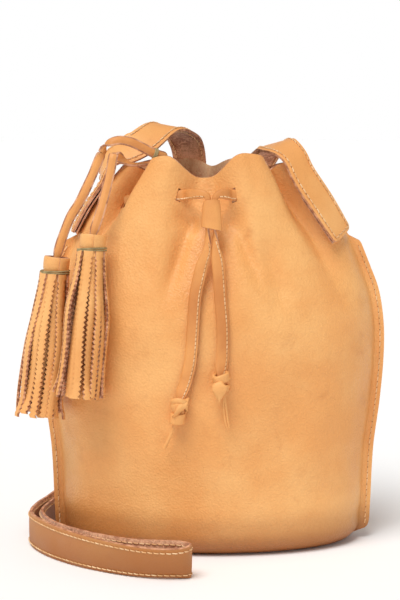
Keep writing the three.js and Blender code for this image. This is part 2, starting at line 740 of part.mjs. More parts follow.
// The fringe is one rolled strip of leather: a plain head, tied, and a skirt of cut strips that opens below.
function makeFringe(top, bottom) {
  const neck = FRINGE_HEAD_RADIUS - TIE_RADIUS;
  const profile = [
    [0, 0],
    [FRINGE_HEAD_RADIUS - CHAMFER, 0],
    [FRINGE_HEAD_RADIUS, CHAMFER],
    [FRINGE_HEAD_RADIUS, TIE_DROP - CHAMFER],
    [neck, TIE_DROP - TIE_RADIUS],
    [neck, TIE_DROP + TIE_RADIUS],
    [FRINGE_HEAD_RADIUS + 0.4, FRINGE_HEAD_HEIGHT],
    [lerp(FRINGE_HEAD_RADIUS, FRINGE_FOOT_RADIUS, 0.55), FRINGE_LENGTH * 0.45],
    [FRINGE_FOOT_RADIUS, FRINGE_LENGTH * 0.85],
    [FRINGE_FOOT_RADIUS, FRINGE_LENGTH],
    [0, FRINGE_LENGTH],
  ];
  return turnedAlong(top, bottom, profile, FRINGE_SEGMENTS);
}

function makeFringeTie(top, bottom) {
  const axis = bottom.clone().sub(top).normalize();
  const u = vector([0, 1, 0]).cross(axis).normalize();
  const v = axis.clone().cross(u);
  const centre = top.clone().addScaledVector(axis, TIE_DROP);
  const radius = FRINGE_HEAD_RADIUS + GAP + TIE_RADIUS;
  return threadAlong(circlePoints(centre, u, v, radius, TIE_POINTS), true, TIE_RADIUS);
}

const LEFT_FRINGE = [vector([-113.5, -37.6, 218.4]), vector([-127.5, -41, 102])];
const RIGHT_FRINGE = [vector([-85.9, -55.3, 236.2]), vector([-95.5, -67.5, 118])];

// ---------- assembly ----------

const bag = new THREE.Group();

function addPart(name, geometry, material) {
  const mesh = new THREE.Mesh(geometry, material);
  mesh.name = name;
  bag.add(mesh);
}

const drawstring = makeDrawstring();
const cutter = toManifold(drawstring.slotCutter);
const frontPanel = toManifold(makePanel(-1)).subtract(cutter);
const backPanel = toManifold(makePanel(1)).subtract(cutter);

addPart('front_panel', fromManifold(frontPanel), leather(HONEY));
addPart('back_panel', fromManifold(backPanel), leather(HONEY));
addPart('base_panel', makeBasePanel(), leather(SHADED_HONEY));
addPart('base_seam_thread', makeBaseSeamThread(), thread(CREAM_THREAD));
addPart('left_seam_thread', makeSideSeamThread(-1), thread(CREAM_THREAD));
addPart('right_seam_thread', makeSideSeamThread(1), thread(CREAM_THREAD));

const strap = flatStrip(strapRoute, 0, 1, STRAP_STEPS, STRAP_WIDTH, STRAP_THICKNESS);
addPart('shoulder_strap', strap, leather(HONEY));
for (const isLeft of [true, false]) {
  const side = isLeft ? 'left' : 'right';
  addPart(`${side}_strap_backing`, makeStrapBacking(isLeft), leather(RAW_EDGE));
  addPart(`${side}_strap_thread`, makeStrapThread(isLeft), thread(CREAM_THREAD));
}

addPart('drawstring', drawstring.solid, leather(SHADED_HONEY));
addPart('cord_keeper', makeKeeper(), leather(HONEY));
addPart('left_cord_end', makeCordEnd(LEFT_END), leather(SHADED_HONEY));
addPart('right_cord_end', makeCordEnd(RIGHT_END), leather(SHADED_HONEY));
addPart('left_knot', makeKnot(LEFT_KNOT), leather(SHADED_HONEY));
addPart('right_knot', makeKnot(RIGHT_KNOT), leather(SHADED_HONEY));

addPart('tassel_loop', makeTasselLoop(), leather(HONEY));
addPart('loop_binding', makeLoopBinding(), thread(OLIVE_THREAD));
const TASSELS = [
  { side: 'left', cord: LEFT_TASSEL_CORD, fringe: LEFT_FRINGE },
  { side: 'right', cord: RIGHT_TASSEL_CORD, fringe: RIGHT_FRINGE },
];
for (const { side, cord, fringe } of TASSELS) {
  addPart(`${side}_tassel_cord`, makeTasselCord(cord), leather(HONEY));
  addPart(`${side}_tassel_fringe`, makeFringe(...fringe), leather(HONEY));
  addPart(`${side}_tassel_tie`, makeFringeTie(...fringe), thread(OLIVE_THREAD));
}

export default bag;
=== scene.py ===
"""Looks of a drawstring bucket bag in natural leather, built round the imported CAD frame.

Shape values are in millimetres, in the CAD's own frame, and become metres in one place, make_object().
"""

import math

import bpy
import numpy as np
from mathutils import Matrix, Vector


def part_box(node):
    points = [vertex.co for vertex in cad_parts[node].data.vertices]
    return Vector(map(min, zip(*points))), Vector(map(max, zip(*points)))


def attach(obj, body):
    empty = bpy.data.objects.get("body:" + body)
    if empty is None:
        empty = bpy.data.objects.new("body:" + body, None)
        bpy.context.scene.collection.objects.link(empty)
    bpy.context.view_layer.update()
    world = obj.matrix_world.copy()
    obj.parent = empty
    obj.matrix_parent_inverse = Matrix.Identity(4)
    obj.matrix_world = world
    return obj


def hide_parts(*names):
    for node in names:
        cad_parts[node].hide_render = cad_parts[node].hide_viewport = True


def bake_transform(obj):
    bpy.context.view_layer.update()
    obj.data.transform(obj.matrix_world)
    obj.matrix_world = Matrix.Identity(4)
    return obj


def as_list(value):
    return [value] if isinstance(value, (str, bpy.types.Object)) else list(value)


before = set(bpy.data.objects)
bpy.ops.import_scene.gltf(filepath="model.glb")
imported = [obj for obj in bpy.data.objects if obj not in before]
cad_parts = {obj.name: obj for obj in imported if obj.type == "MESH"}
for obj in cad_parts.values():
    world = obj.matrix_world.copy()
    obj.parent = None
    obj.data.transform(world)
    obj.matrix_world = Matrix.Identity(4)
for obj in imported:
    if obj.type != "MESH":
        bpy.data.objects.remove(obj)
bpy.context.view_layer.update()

MM = 0.001


def box_mm(node):
    """Lowest and highest corner of a CAD node, in millimetres."""
    low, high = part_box(node)
    return np.array(low) / MM, np.array(high) / MM


# ---------- camera ----------

CAMERA_AIM = Vector((-0.0094, 0.0, 0.182))
CAMERA_DISTANCE = 1.35
CAMERA_PITCH = math.radians(7)
CAMERA_LENS = 108
SENSOR_WIDTH = 36               # along the picture's long side


def make_camera():
    data = bpy.data.cameras.new("camera")
    data.lens = CAMERA_LENS
    data.sensor_width = SENSOR_WIDTH
    camera = bpy.data.objects.new("camera", data)
    back = Vector((0, -math.cos(CAMERA_PITCH), math.sin(CAMERA_PITCH)))
    camera.location = CAMERA_AIM + back * CAMERA_DISTANCE
    camera.rotation_euler = (math.pi / 2 - CAMERA_PITCH, 0, 0)
    bpy.context.collection.objects.link(camera)
    bpy.context.scene.camera = camera


# ---------- shape helpers ----------

def smooth(low, high, x):
    t = np.clip((np.asarray(x, float) - low) / (high - low), 0, 1)
    return t * t * (3 - 2 * t)


def mix(a, b, share):
    return a + (b - a) * share


def unit(vectors):
    return vectors / np.maximum(np.linalg.norm(vectors, axis=-1, keepdims=True), 1e-9)


def through(points, t):
    """A smooth line through the points, at shares t of their count, as the CAD draws it."""
    points = np.asarray(points, float)
    before = 2 * points[0] - points[1]
    after = 2 * points[-1] - points[-2]
    padded = np.vstack([before, points, after])
    place = np.clip(np.asarray(t, float), 0, 1) * (len(points) - 1)
    i = np.minimum(place.astype(int), len(points) - 2)
    u = (place - i)[:, None]
    p0, p1, p2, p3 = (padded[i + k] for k in range(4))
    start = (p2 - p0) / 2
    end = (p3 - p1) / 2
    return (
        p1
        + start * u
        + (3 * (p2 - p1) - 2 * start - end) * u ** 2
        + (2 * (p1 - p2) + start + end) * u ** 3
    )


class Route:
    """A smooth line through stations, with a width direction at every point of it."""

    SAMPLES = 2400

    def __init__(self, stations):
        self.at = np.array([at for at, _ in stations], float)
        self.across = np.array([across for _, across in stations], float)
        self.shares = np.linspace(0, 1, self.SAMPLES)
        line = through(self.at, self.shares)
        steps = np.linalg.norm(np.diff(line, axis=0), axis=1)
        self.distances = np.concatenate([[0], np.cumsum(steps)])
        self.length = self.distances[-1]

    def share_at(self, distance):
        return np.interp(distance, self.distances, self.shares)

    def evenly(self, step):
        count = max(2, round(self.length / step) + 1)
        return self.share_at(np.linspace(0, self.length, count))

    def frames(self, t):
        t = np.asarray(t, float)
        reach = 0.5 / self.SAMPLES
        point = through(self.at, t)
        tangent = unit(through(self.at, t + reach) - through(self.at, t - reach))
        width = through(self.across, t)
        width = unit(width - tangent * np.sum(width * tangent, axis=1, keepdims=True))
        return point, width, np.cross(tangent, width), tangent

    def offset(self, t, along_width, along_normal):
        point, width, normal, _ = self.frames(t)
        shift = np.reshape(along_width, (-1, 1)) * width + np.reshape(along_normal, (-1, 1)) * normal
        return point + shift


WOBBLE_WAVES = 5
WOBBLE_SPREAD = (0.7, 1.6)      # shortest and longest wave, as shares of the wavelength
WOBBLE_PHASES = 6.28
WOBBLE_PEAK = 3.2


def wobble(x, y, seed, scale):
    """A smooth random height from -1 to 1, the same on every run. scale is its wavelength."""
    random = np.random.default_rng(seed)
    total = 0
    for _ in range(WOBBLE_WAVES):
        turn = random.uniform(0, 2 * math.pi)
        wave = 2 * math.pi / (scale * random.uniform(*WOBBLE_SPREAD))
        along = x * math.cos(turn) + y * math.sin(turn)
        total = total + np.sin(along * wave + random.uniform(0, WOBBLE_PHASES))
    return total / WOBBLE_PEAK


def make_object(name, points, faces, materials, indices=None, sharp_degrees=42):
    """A mesh object from points in millimetres. indices gives each face's place in materials."""
    mesh = bpy.data.meshes.new(name)
    mesh.from_pydata((np.asarray(points, float) * MM).tolist(), [], [tuple(face) for face in faces])
    for material in materials:
        mesh.materials.append(material)
    if indices is not None:
        mesh.polygons.foreach_set("material_index", np.asarray(indices, np.int32))
    mesh.polygons.foreach_set("use_smooth", [True] * len(mesh.polygons))
    mesh.validate()
    mesh.update()
    mesh.set_sharp_from_angle(angle=math.radians(sharp_degrees))
    piece = bpy.data.objects.new(name, mesh)
    bpy.context.collection.objects.link(piece)
    return piece


class Pieces:
    """Collects closed solids that end up in one mesh."""

    def __init__(self):
        self.points = []
        self.faces = []
        self.indices = []
        self.count = 0

    def add(self, points, faces, index=0):
        points = np.asarray(points, float)
        self.points.append(points)
        self.faces.extend([tuple(corner + self.count for corner in face) for face in faces])
        self.indices.extend([index] * len(faces) if np.isscalar(index) else list(index))
        self.count += len(points)

    def build(self, name, materials, sharp_degrees=42):
        points = np.vstack(self.points)
        return make_object(name, points, self.faces, materials, self.indices, sharp_degrees)


def ring_faces(rings, sides, caps=True):
    """Faces of a tube of rings, with its two ends closed."""
    faces = []
    for i in range(rings - 1):
        for k in range(sides):
            beside = (k + 1) % sides
            faces.append((i * sides + k, i * sides + beside, (i + 1) * sides + beside, (i + 1) * sides + k))
    if caps:
        faces.append(tuple(range(sides))[::-1])
        faces.append(tuple(range((rings - 1) * sides, rings * sides)))
    return faces


def sweep(route, t, sections):
    """Points of a tube. sections holds, for each t, offsets along the width and the normal."""
    point, width, normal, _ = route.frames(t)
    rings = (
        point[:, None, :]
        + sections[:, :, 0:1] * width[:, None, :]
        + sections[:, :, 1:2] * normal[:, None, :]
    )
    return rings.reshape(-1, 3)


def band_section(half_width, half_thickness, rounding, steps=2):
    """A flat band's section with rounded edges, as offsets. The first points run along its upper side."""
    corner = np.linspace(0, math.pi / 2, steps + 1)
    side = half_width - rounding
    top = half_thickness - rounding
    quarter = np.stack([np.cos(corner), np.sin(corner)], axis=1) * rounding
    first = quarter + (side, top)
    middle = np.array([[side * share, half_thickness] for share in (0.5, 0, -0.5)])
    second = quarter[::-1] * (-1, 1) + (-side, top)
    upper = np.vstack([first, middle, second])
    return np.vstack([upper, -upper])


def unit_band(half_thickness, rounding):
    """A flat band's section that reaches 1 mm to each side of its middle."""
    section = band_section(1.0, half_thickness, rounding)
    return section / (np.abs(section[:, 0]).max(), 1)


def scaled_sections(template, widths, heights=1.0):
    """One section for each width: the template made that wide and that high."""
    scales = np.stack(np.broadcast_arrays(widths, heights), axis=-1)
    return template[None, :, :] * scales[:, None, :]


def full_turn(count):
    """Angles evenly round a full turn, without the first one again at the end."""
    return np.linspace(0, 2 * math.pi, count, endpoint=False)


def facing(section):
    """For each side of a band's section: 0 on the upper side, 1 on the lower one, 2 on an edge."""
    after = np.roll(section, -1, axis=0)
    run = after - section
    flat = np.abs(run[:, 0]) > 2 * np.abs(run[:, 1])
    middle = (section + after) / 2
    return np.where(flat, np.where(middle[:, 1] > 0, 0, 1), 2)


# ---------- materials ----------

def colour(red, green, blue):
    """A colour given as it looks on a screen, 0 to 255."""
    def linear(value):
        share = value / 255
        return share / 12.92 if share <= 0.04045 else ((share + 0.055) / 1.055) ** 2.4
    return (linear(red), linear(green), linear(blue), 1)


HONEY_LIGHT = colour(243, 182, 112)
HONEY = colour(235, 164, 93)
HONEY_DARK = colour(202, 126, 64)
# Painted shade: the dark brown that the leather is darkened towards near the floor.
HONEY_PAINTED_SHADE = colour(146, 80, 30)
RAW_LIGHT = colour(226, 170, 132)
RAW_DARK = colour(166, 108, 78)
FLESH_LIGHT = colour(238, 188, 150)
FLESH_DARK = colour(160, 98, 68)
# Painted light: the body's flesh side uses a lighter copy of the flesh colours, brightening the shaded inside
# of the bag.
BODY_FLESH_LIT_PALE = colour(255, 210, 160)
BODY_FLESH_LIT_DEEP = colour(224, 140, 96)
THREAD_LIGHT = colour(250, 218, 172)
THREAD_DARK = colour(222, 172, 116)
# Painted shade inside the needle holes.
HOLE_SHADE = colour(150, 92, 54)
OLIVE_LIGHT = colour(190, 170, 122)
OLIVE_DARK = colour(146, 126, 84)


class Shader:
    """A small helper that adds nodes to one material."""

    def __init__(self, name):
        self.material = bpy.data.materials.new(name)
        self.material.use_nodes = True
        self.tree = self.material.node_tree
        self.surface = self.tree.nodes["Principled BSDF"]
        self.place = self.tree.nodes.new("ShaderNodeTexCoord").outputs["Object"]

    def node(self, kind, **inputs):
        made = self.tree.nodes.new(kind)
        for key, value in inputs.items():
            self.feed(made.inputs[key.replace("_", " ")], value)
        return made

    def feed(self, socket, value):
        if isinstance(value, bpy.types.NodeSocket):
            self.tree.links.new(value, socket)
        else:
            socket.default_value = value

    def noise(self, scale, detail=3, roughness=0.5, distortion=0, place=None):
        made = self.node(
            "ShaderNodeTexNoise", Scale=scale, Detail=detail, Roughness=roughness, Distortion=distortion,
        )
        self.feed(made.inputs["Vector"], place or self.place)
        return made.outputs["Fac"]

    def cells(self, scale, feature="F1", place=None):
        made = self.tree.nodes.new("ShaderNodeTexVoronoi")
        made.feature = feature
        made.inputs["Scale"].default_value = scale
        self.feed(made.inputs["Vector"], place or self.place)
        return made.outputs["Distance"]

    def ramp(self, value, low, high, start=0.0, end=1.0):
        made = self.node("ShaderNodeMapRange", Value=value)
        made.interpolation_type = "SMOOTHSTEP"
        for key, number in (("From Min", low), ("From Max", high), ("To Min", start), ("To Max", end)):
            made.inputs[key].default_value = number
        return made.outputs["Result"]

    def blend(self, share, a, b):
        made = self.tree.nodes.new("ShaderNodeMix")
        made.data_type = "RGBA"
        self.feed(made.inputs["Factor"], share)
        self.feed(made.inputs[6], a)
        self.feed(made.inputs[7], b)
        return made.outputs[2]

    def warped(self, scale, amount):
        """The place, pushed about by a noise, so that cells don't line up."""
        noise = self.tree.nodes.new("ShaderNodeTexNoise")
        noise.inputs["Scale"].default_value = scale
        self.feed(noise.inputs["Vector"], self.place)
        push = self.tree.nodes.new("ShaderNodeVectorMath")
        push.operation = "MULTIPLY_ADD"
        self.feed(push.inputs[0], noise.outputs["Color"])
        push.inputs[1].default_value = (amount, amount, amount)
        self.feed(push.inputs[2], self.place)
        return push.outputs[0]

    def stretched(self, along):
        """The place, scaled by a different factor along each axis."""
        made = self.tree.nodes.new("ShaderNodeVectorMath")
        made.operation = "MULTIPLY"
        self.feed(made.inputs[0], self.place)
        made.inputs[1].default_value = along
        return made.outputs[0]

    def bump(self, height, strength, distance_mm, after=None):
        made = self.node("ShaderNodeBump", Height=height, Strength=strength, Distance=distance_mm * MM)
        if after is not None:
            self.feed(made.inputs["Normal"], after)
        return made.outputs["Normal"]

    def finish(self, base, roughness, normal, specular=0.4, sheen=0.0):
        self.feed(self.surface.inputs["Base Color"], base)
        self.feed(self.surface.inputs["Roughness"], roughness)
        self.feed(self.surface.inputs["Normal"], normal)
        self.surface.inputs["Specular IOR Level"].default_value = specular
        self.surface.inputs["Sheen Weight"].default_value = sheen
        return self.material


def grain_leather(
    name, light, middle, dark, pebble_mm=1.1, pebble_depth=0.12, gloss=0.44, foot=None, painted_shade=0.9,
):
    """The smooth side: cloudy colour, pebbled grain, faint veins and a waxy sheen.

    foot is the height in millimetres at which a painted shade that darkens the leather towards the floor has
    faded out.
    """
    shader = Shader(name)
    clouds = shader.noise(14, detail=4, roughness=0.55)
    patches = shader.noise(48, detail=5, roughness=0.6, distortion=0.6)
    grain = shader.cells(1 / (pebble_mm * MM), place=shader.warped(260, 0.0016))
    pores = shader.noise(2600, detail=2)
    veins = shader.cells(95, feature="DISTANCE_TO_EDGE", place=shader.warped(70, 0.010))
    base = shader.blend(shader.ramp(clouds, 0.36, 0.66, 0, 1), middle, light)
    base = shader.blend(shader.ramp(patches, 0.56, 0.80, 0, 0.34), base, dark)
    base = shader.blend(shader.ramp(grain, 0.35, 0.75, 0, 0.10), base, dark)
    base = shader.blend(shader.ramp(veins, 0.0, 0.035, 0.10, 0), base, dark)
    # Painted shade: from foot down to the floor the colour darkens towards the dark brown, with a wavy edge.
    if foot:
        height = shader.tree.nodes.new("ShaderNodeSeparateXYZ")
        shader.feed(height.inputs[0], shader.warped(30, 0.006))
        floor_shade_share = shader.ramp(height.outputs["Z"], 0, foot * MM, painted_shade, 0)
        base = shader.blend(floor_shade_share, base, HONEY_PAINTED_SHADE)
    roughness = shader.ramp(shader.noise(36, detail=3), 0.3, 0.7, gloss - 0.06, gloss + 0.12)
    normal = shader.bump(shader.noise(60, detail=4), 0.5, 0.5)
    normal = shader.bump(shader.ramp(grain, 0.0, 0.8, 1, 0), 0.6, pebble_depth, normal)
    normal = shader.bump(shader.ramp(veins, 0.0, 0.05), 0.35, 0.12, normal)
    normal = shader.bump(pores, 0.35, 0.05, normal)
    return shader.finish(base, roughness, normal, specular=0.42)


def flesh_leather(name, light, dark):
    """The rough inner side: pinkish brown, with short matted fibres."""
    shader = Shader(name)
    clouds = shader.noise(40, detail=5, roughness=0.6)
    fibres = shader.noise(900, detail=4, roughness=0.7, place=shader.stretched((1, 1, 0.45)))
    specks = shader.noise(420, detail=3, roughness=0.7)
    base = shader.blend(shader.ramp(clouds, 0.3, 0.7), dark, light)
    base = shader.blend(shader.ramp(specks, 0.50, 0.57, 0, 0.75), base, light)
    base = shader.blend(shader.ramp(fibres, 0.34, 0.48, 0.6, 0), base, dark)
    normal = shader.bump(fibres, 0.9, 0.45)
    normal = shader.bump(specks, 0.5, 0.2, normal)
    return shader.finish(base, 0.92, normal, specular=0.15, sheen=0.25)


def raw_edge_leather(name):
    """A cut edge: layered fibres, darker than the smooth side."""
    shader = Shader(name)
    fibres = shader.noise(1300, detail=4, roughness=0.7)
    stains = shader.noise(160, detail=3)
    base = shader.blend(shader.ramp(stains, 0.35, 0.65), RAW_DARK, RAW_LIGHT)
    base = shader.blend(shader.ramp(fibres, 0.5, 0.7, 0, 0.55), base, RAW_LIGHT)
    normal = shader.bump(fibres, 0.8, 0.3)
    return shader.finish(base, 0.85, normal, specular=0.2)


def waxed_thread(name, light, dark):
    """Twisted thread: slanting plies and a dull waxy shine."""
    shader = Shader(name)
    plies = shader.node("ShaderNodeTexWave", Scale=420.0, Distortion=2.0, Detail=1.0)
    plies.bands_direction = "DIAGONAL"
    shader.feed(plies.inputs["Vector"], shader.place)
    soil = shader.noise(130, detail=3)
    base = shader.blend(shader.ramp(soil, 0.35, 0.7), dark, light)
    base = shader.blend(shader.ramp(plies.outputs["Fac"], 0.2, 0.8, 0.3, 0), base, dark)
    normal = shader.bump(plies.outputs["Fac"], 0.6, 0.12)
    return shader.finish(base, 0.62, normal, specular=0.35)


def needle_hole_shade(name):
    """Painted shade: the dark dimple where a needle went through, coloured for the shade inside the hole."""
    shader = Shader(name)
    base = shader.blend(shader.noise(900), HOLE_SHADE, RAW_DARK)
    return shader.finish(base, 0.9, shader.bump(shader.noise(1200), 0.4, 0.1), specular=0.1)


def floor_paper(name):
    """The pale floor, with hardly any tone."""
    shader = Shader(name)
    base = shader.blend(shader.noise(6), colour(253, 253, 252), colour(255, 255, 254))
    return shader.finish(base, 0.9, shader.bump(shader.noise(300), 0.02, 0.1), specular=0.1)


# Painted shade: the body darkens towards its bottom roll and base, up to 42 mm above the floor.
BODY_GRAIN = grain_leather(
    "body_grain", HONEY_LIGHT, HONEY, HONEY_DARK, pebble_mm=1.7, pebble_depth=0.36, foot=42, painted_shade=0.95,
)
# Painted shade: the strap darkens where it lies on and near the floor, up to 70 mm.
STRAP_GRAIN = grain_leather(
    "strap_grain", HONEY_LIGHT, HONEY, HONEY_DARK, pebble_mm=0.8, pebble_depth=0.08, foot=70, painted_shade=0.84,
)
CORD_GRAIN = grain_leather(
    "cord_grain", HONEY, HONEY_DARK, HONEY_DARK, pebble_mm=0.7, pebble_depth=0.08, gloss=0.5,
)
KNOT_GRAIN = grain_leather(
    "knot_grain", HONEY_LIGHT, HONEY, HONEY_DARK, pebble_mm=0.7, pebble_depth=0.08, gloss=0.5,
)
TASSEL_GRAIN = grain_leather("tassel_grain", HONEY_LIGHT, HONEY, HONEY_DARK, pebble_mm=0.9, gloss=0.52)
# Painted light: the inside of the body is painted lighter than the strap's flesh side.
BODY_FLESH_PAINTED_LIGHT = flesh_leather("body_flesh_painted_light", BODY_FLESH_LIT_PALE, BODY_FLESH_LIT_DEEP)
FLESH = flesh_leather("flesh_side", FLESH_LIGHT, FLESH_DARK)
RAW_EDGE = raw_edge_leather("raw_edge")
CREAM_THREAD = waxed_thread("cream_thread", THREAD_LIGHT, THREAD_DARK)
OLIVE_THREAD = waxed_thread("olive_thread", OLIVE_LIGHT, OLIVE_DARK)
NEEDLE_HOLE_SHADE = needle_hole_shade("needle_hole_shade")

STITCH_MATERIALS = [CREAM_THREAD, NEEDLE_HOLE_SHADE]


# ---------- stitches ----------

STITCH_PITCH = 4.4
STITCH_RADIUS = 0.46
STITCH_SIDES = 6
STITCH_SLANT = 0.5
# Along one stitch: share of its run, lift off the leather, and size as a share of the thread's radius.
STITCH_PROFILE = (
    (0.06, -0.35, 0.55),
    (0.16, 0.22, 0.95),
    (0.5, 0.34, 1),
    (0.84, 0.22, 0.95),
    (0.94, -0.35, 0.55),
)
HOLE_RADIUS = 0.45
HOLE_SIDES = 6
HOLE_LENGTH_SHARE = 0.8
HOLE_LIFTS = (0.10, 0.02, -0.25)        # of the lens's top, rim and bottom


def add_stitch(pieces, start, end, outward, slant=0.0):
    """One thread that comes up at start, lies on the leather and goes down at end."""
    run = end - start
    side = np.cross(unit(run), outward)
    shares, lifts, sizes = np.array(STITCH_PROFILE).T
    sizes = sizes * STITCH_RADIUS
    lean = (shares - 0.5) * slant
    centres = start + shares[:, None] * run + lifts[:, None] * outward + lean[:, None] * side
    turn = np.arange(STITCH_SIDES) / STITCH_SIDES * 2 * math.pi
    circle = np.cos(turn)[:, None] * side + np.sin(turn)[:, None] * outward
    points = centres[:, None, :] + sizes[:, None, None] * circle[None, :, :]
    pieces.add(points.reshape(-1, 3), ring_faces(len(shares), STITCH_SIDES), 0)


def add_needle_hole_shade(pieces, at, along, outward):
    """A small closed lens at the needle's place, which paints the shade of the needle hole."""
    side = np.cross(along, outward)
    top, rim_lift, bottom = HOLE_LIFTS
    rim = []
    for turn in np.arange(HOLE_SIDES) / HOLE_SIDES * 2 * math.pi:
        round_it = math.cos(turn) * along * HOLE_LENGTH_SHARE + math.sin(turn) * side
        rim.append(at + HOLE_RADIUS * round_it + outward * rim_lift)
    points = [at + outward * top, at + outward * bottom, *rim]
    faces = []
    for k in range(HOLE_SIDES):
        first = 2 + k
        second = 2 + (k + 1) % HOLE_SIDES
        faces.append((0, first, second))
        faces.append((1, second, first))
    pieces.add(points, faces, 1)


def add_stitch_row(pieces, line, outward, pitch=STITCH_PITCH, slant=STITCH_SLANT, closed=False):
    """A row of stitches along a dense line of points, with the outward direction at each of them."""
    steps = np.linalg.norm(np.diff(line, axis=0), axis=1)
    distance = np.concatenate([[0], np.cumsum(steps)])
    count = max(1, round(distance[-1] / pitch))
    at = np.linspace(0, distance[-1], count + 1)
    points = np.stack([np.interp(at, distance, line[:, k]) for k in range(3)], axis=1)
    normals = unit(np.stack([np.interp(at, distance, outward[:, k]) for k in range(3)], axis=1))
    for i in range(count):
        middle = unit(normals[i] + normals[i + 1])
        add_stitch(pieces, points[i], points[i + 1], middle, slant)
    along = unit(np.gradient(points, axis=0))
    for i in range(count if closed else count + 1):
        add_needle_hole_shade(pieces, points[i], along[i], normals[i])


# ---------- body ----------

LEATHER = 2.2
GAP = 0.4
ROLL = 16
FIN_WIDTH = 8
FIN_BOTTOM = 6
FIN_TOP = 226
FIN_STUB = 0.8
NECK = 232
TOP = 290
RIM_SIDE = 283
RIM_RISE_FRONT = 12.5
RIM_RISE_BACK = 4
GATHER_LOW = 168
GATHER_HIGH = 268

# Height, half width and half depth of the oval body.
SECTIONS = np.array([
    (0, 110.5, 62),
    (30, 111.8, 63.5),
    (71, 113.6, 65),
    (107, 118, 66.5),
    (140, 120.6, 66.5),
    (166, 120.3, 65.5),
    (190, 116.5, 62.5),
    (209, 109.5, 59),
    (232, 100, 54.5),
    (257, 88, 50),
    (275, 77, 47.5),
    (290, 66, 46),
])

# Gathered folds: angle at the rim, turn per millimetre below it, depth, half spread in degrees, how flat the
# valley's floor is (2 is a plain bell), dip of the rim, half spread of that dip.
FOLDS = (
    (-96, 0.02, 14, 14, 3, 20, 16.5),
    (-44.5, 0.09, 17, 8, 1.7, 13, 6),
    (-147, -0.13, 18, 8.5, 2, 10, 8),
    (90, 0, 14, 9, 2, 6, 9),
    (47, -0.1, 14, 8, 2, 6, 8),
    (134, 0.1, 14, 8, 2, 6, 8),
)

# Soft furrows on the front: line of (height, x), half width, depth, and the heights between which it shows.
FURROWS = (
    (((268, -25), (240, -20), (205, -30), (170, -38)), 5.8, 5.6, (176, 218, 246, 264)),
    (((268, 17), (240, 19), (215, 28), (190, 37)), 5.8, 5.4, (186, 222, 246, 264)),
    (((240, 38), (214, 42), (190, 49)), 8.5, 3.4, (174, 198, 214, 238)),
    (((150, 74), (110, 60), (70, 52)), 20, 1.4, (60, 90, 120, 150)),
    (((170, -52), (120, -66), (60, -72)), 18, 1.6, (50, 90, 130, 168)),
)

# Puckers under the two front slots: x, height, half width, half height, depth.
PUCKERS = (
    (-15.5, 246, 4, 7, 4.4),
    (12.5, 244, 4.5, 9, 5),
)
BACK_SHARE = 0.4                # the back has softer furrows than the front
# Slack of the leather: seed, wavelength and depth. The finest one shows only near the rim.
SLACK = ((3, 95, 0.9), (8, 42, 0.35))
RIM_SLACK = (21, 20, 0.5)
RIM_SLACK_HEIGHTS = (190, 262)
SLACK_STARTS = (8, 60)
MEAN_RADIUS = 95
CREASES = ((21, 5, 0.7), (34, 8, -0.5))         # height, half height and depth
CALM_DEGREES = 18               # the leather is smooth this near to a side seam


def oval_at(level):
    z = np.clip(np.asarray(level, float), SECTIONS[0, 0], TOP)
    i = np.clip(np.searchsorted(SECTIONS[:, 0], z, side="left") - 1, 0, len(SECTIONS) - 2)
    before = SECTIONS[np.maximum(i - 1, 0)]
    low = SECTIONS[i]
    high = SECTIONS[i + 1]
    after = SECTIONS[np.minimum(i + 2, len(SECTIONS) - 1)]
    span = high[..., 0] - low[..., 0]
    u = (z - low[..., 0]) / span
    sizes = []
    for k in (1, 2):
        slope_low = (high[..., k] - before[..., k]) / (high[..., 0] - before[..., 0]) * span
        slope_high = (after[..., k] - low[..., k]) / (after[..., 0] - low[..., 0]) * span
        start = (1 + 2 * u) * (1 - u) ** 2 * low[..., k] + u * (1 - u) ** 2 * slope_low
        sizes.append(start + u * u * (3 - 2 * u) * high[..., k] + u * u * (u - 1) * slope_high)
    return sizes


def degrees_apart(a, b):
    return (a - b + 540) % 360 - 180


def rim_height(angle):
    sine = np.sin(np.radians(angle))
    rise = np.where(sine < 0, RIM_RISE_FRONT, RIM_RISE_BACK)
    height = RIM_SIDE + rise * sine ** 2
    for centre, _, _, _, flatness, dip, spread in FOLDS:
        height = height - dip * np.exp(-np.abs(degrees_apart(angle, centre) / spread) ** flatness)
    return height


def height_of(angle, level):
    stretched = NECK + (level - NECK) * (rim_height(angle) - NECK) / (TOP - NECK)
    return np.where(level <= NECK, level, stretched)


def fold_depth(angle, level):
    depth = 0
    for centre, turn, full, spread, flatness, _, _ in FOLDS:
        middle = centre + turn * (TOP - level)
        depth = np.maximum(depth, full * np.exp(-np.abs(degrees_apart(angle, middle) / spread) ** flatness))
    return depth * smooth(GATHER_LOW, GATHER_HIGH, level)


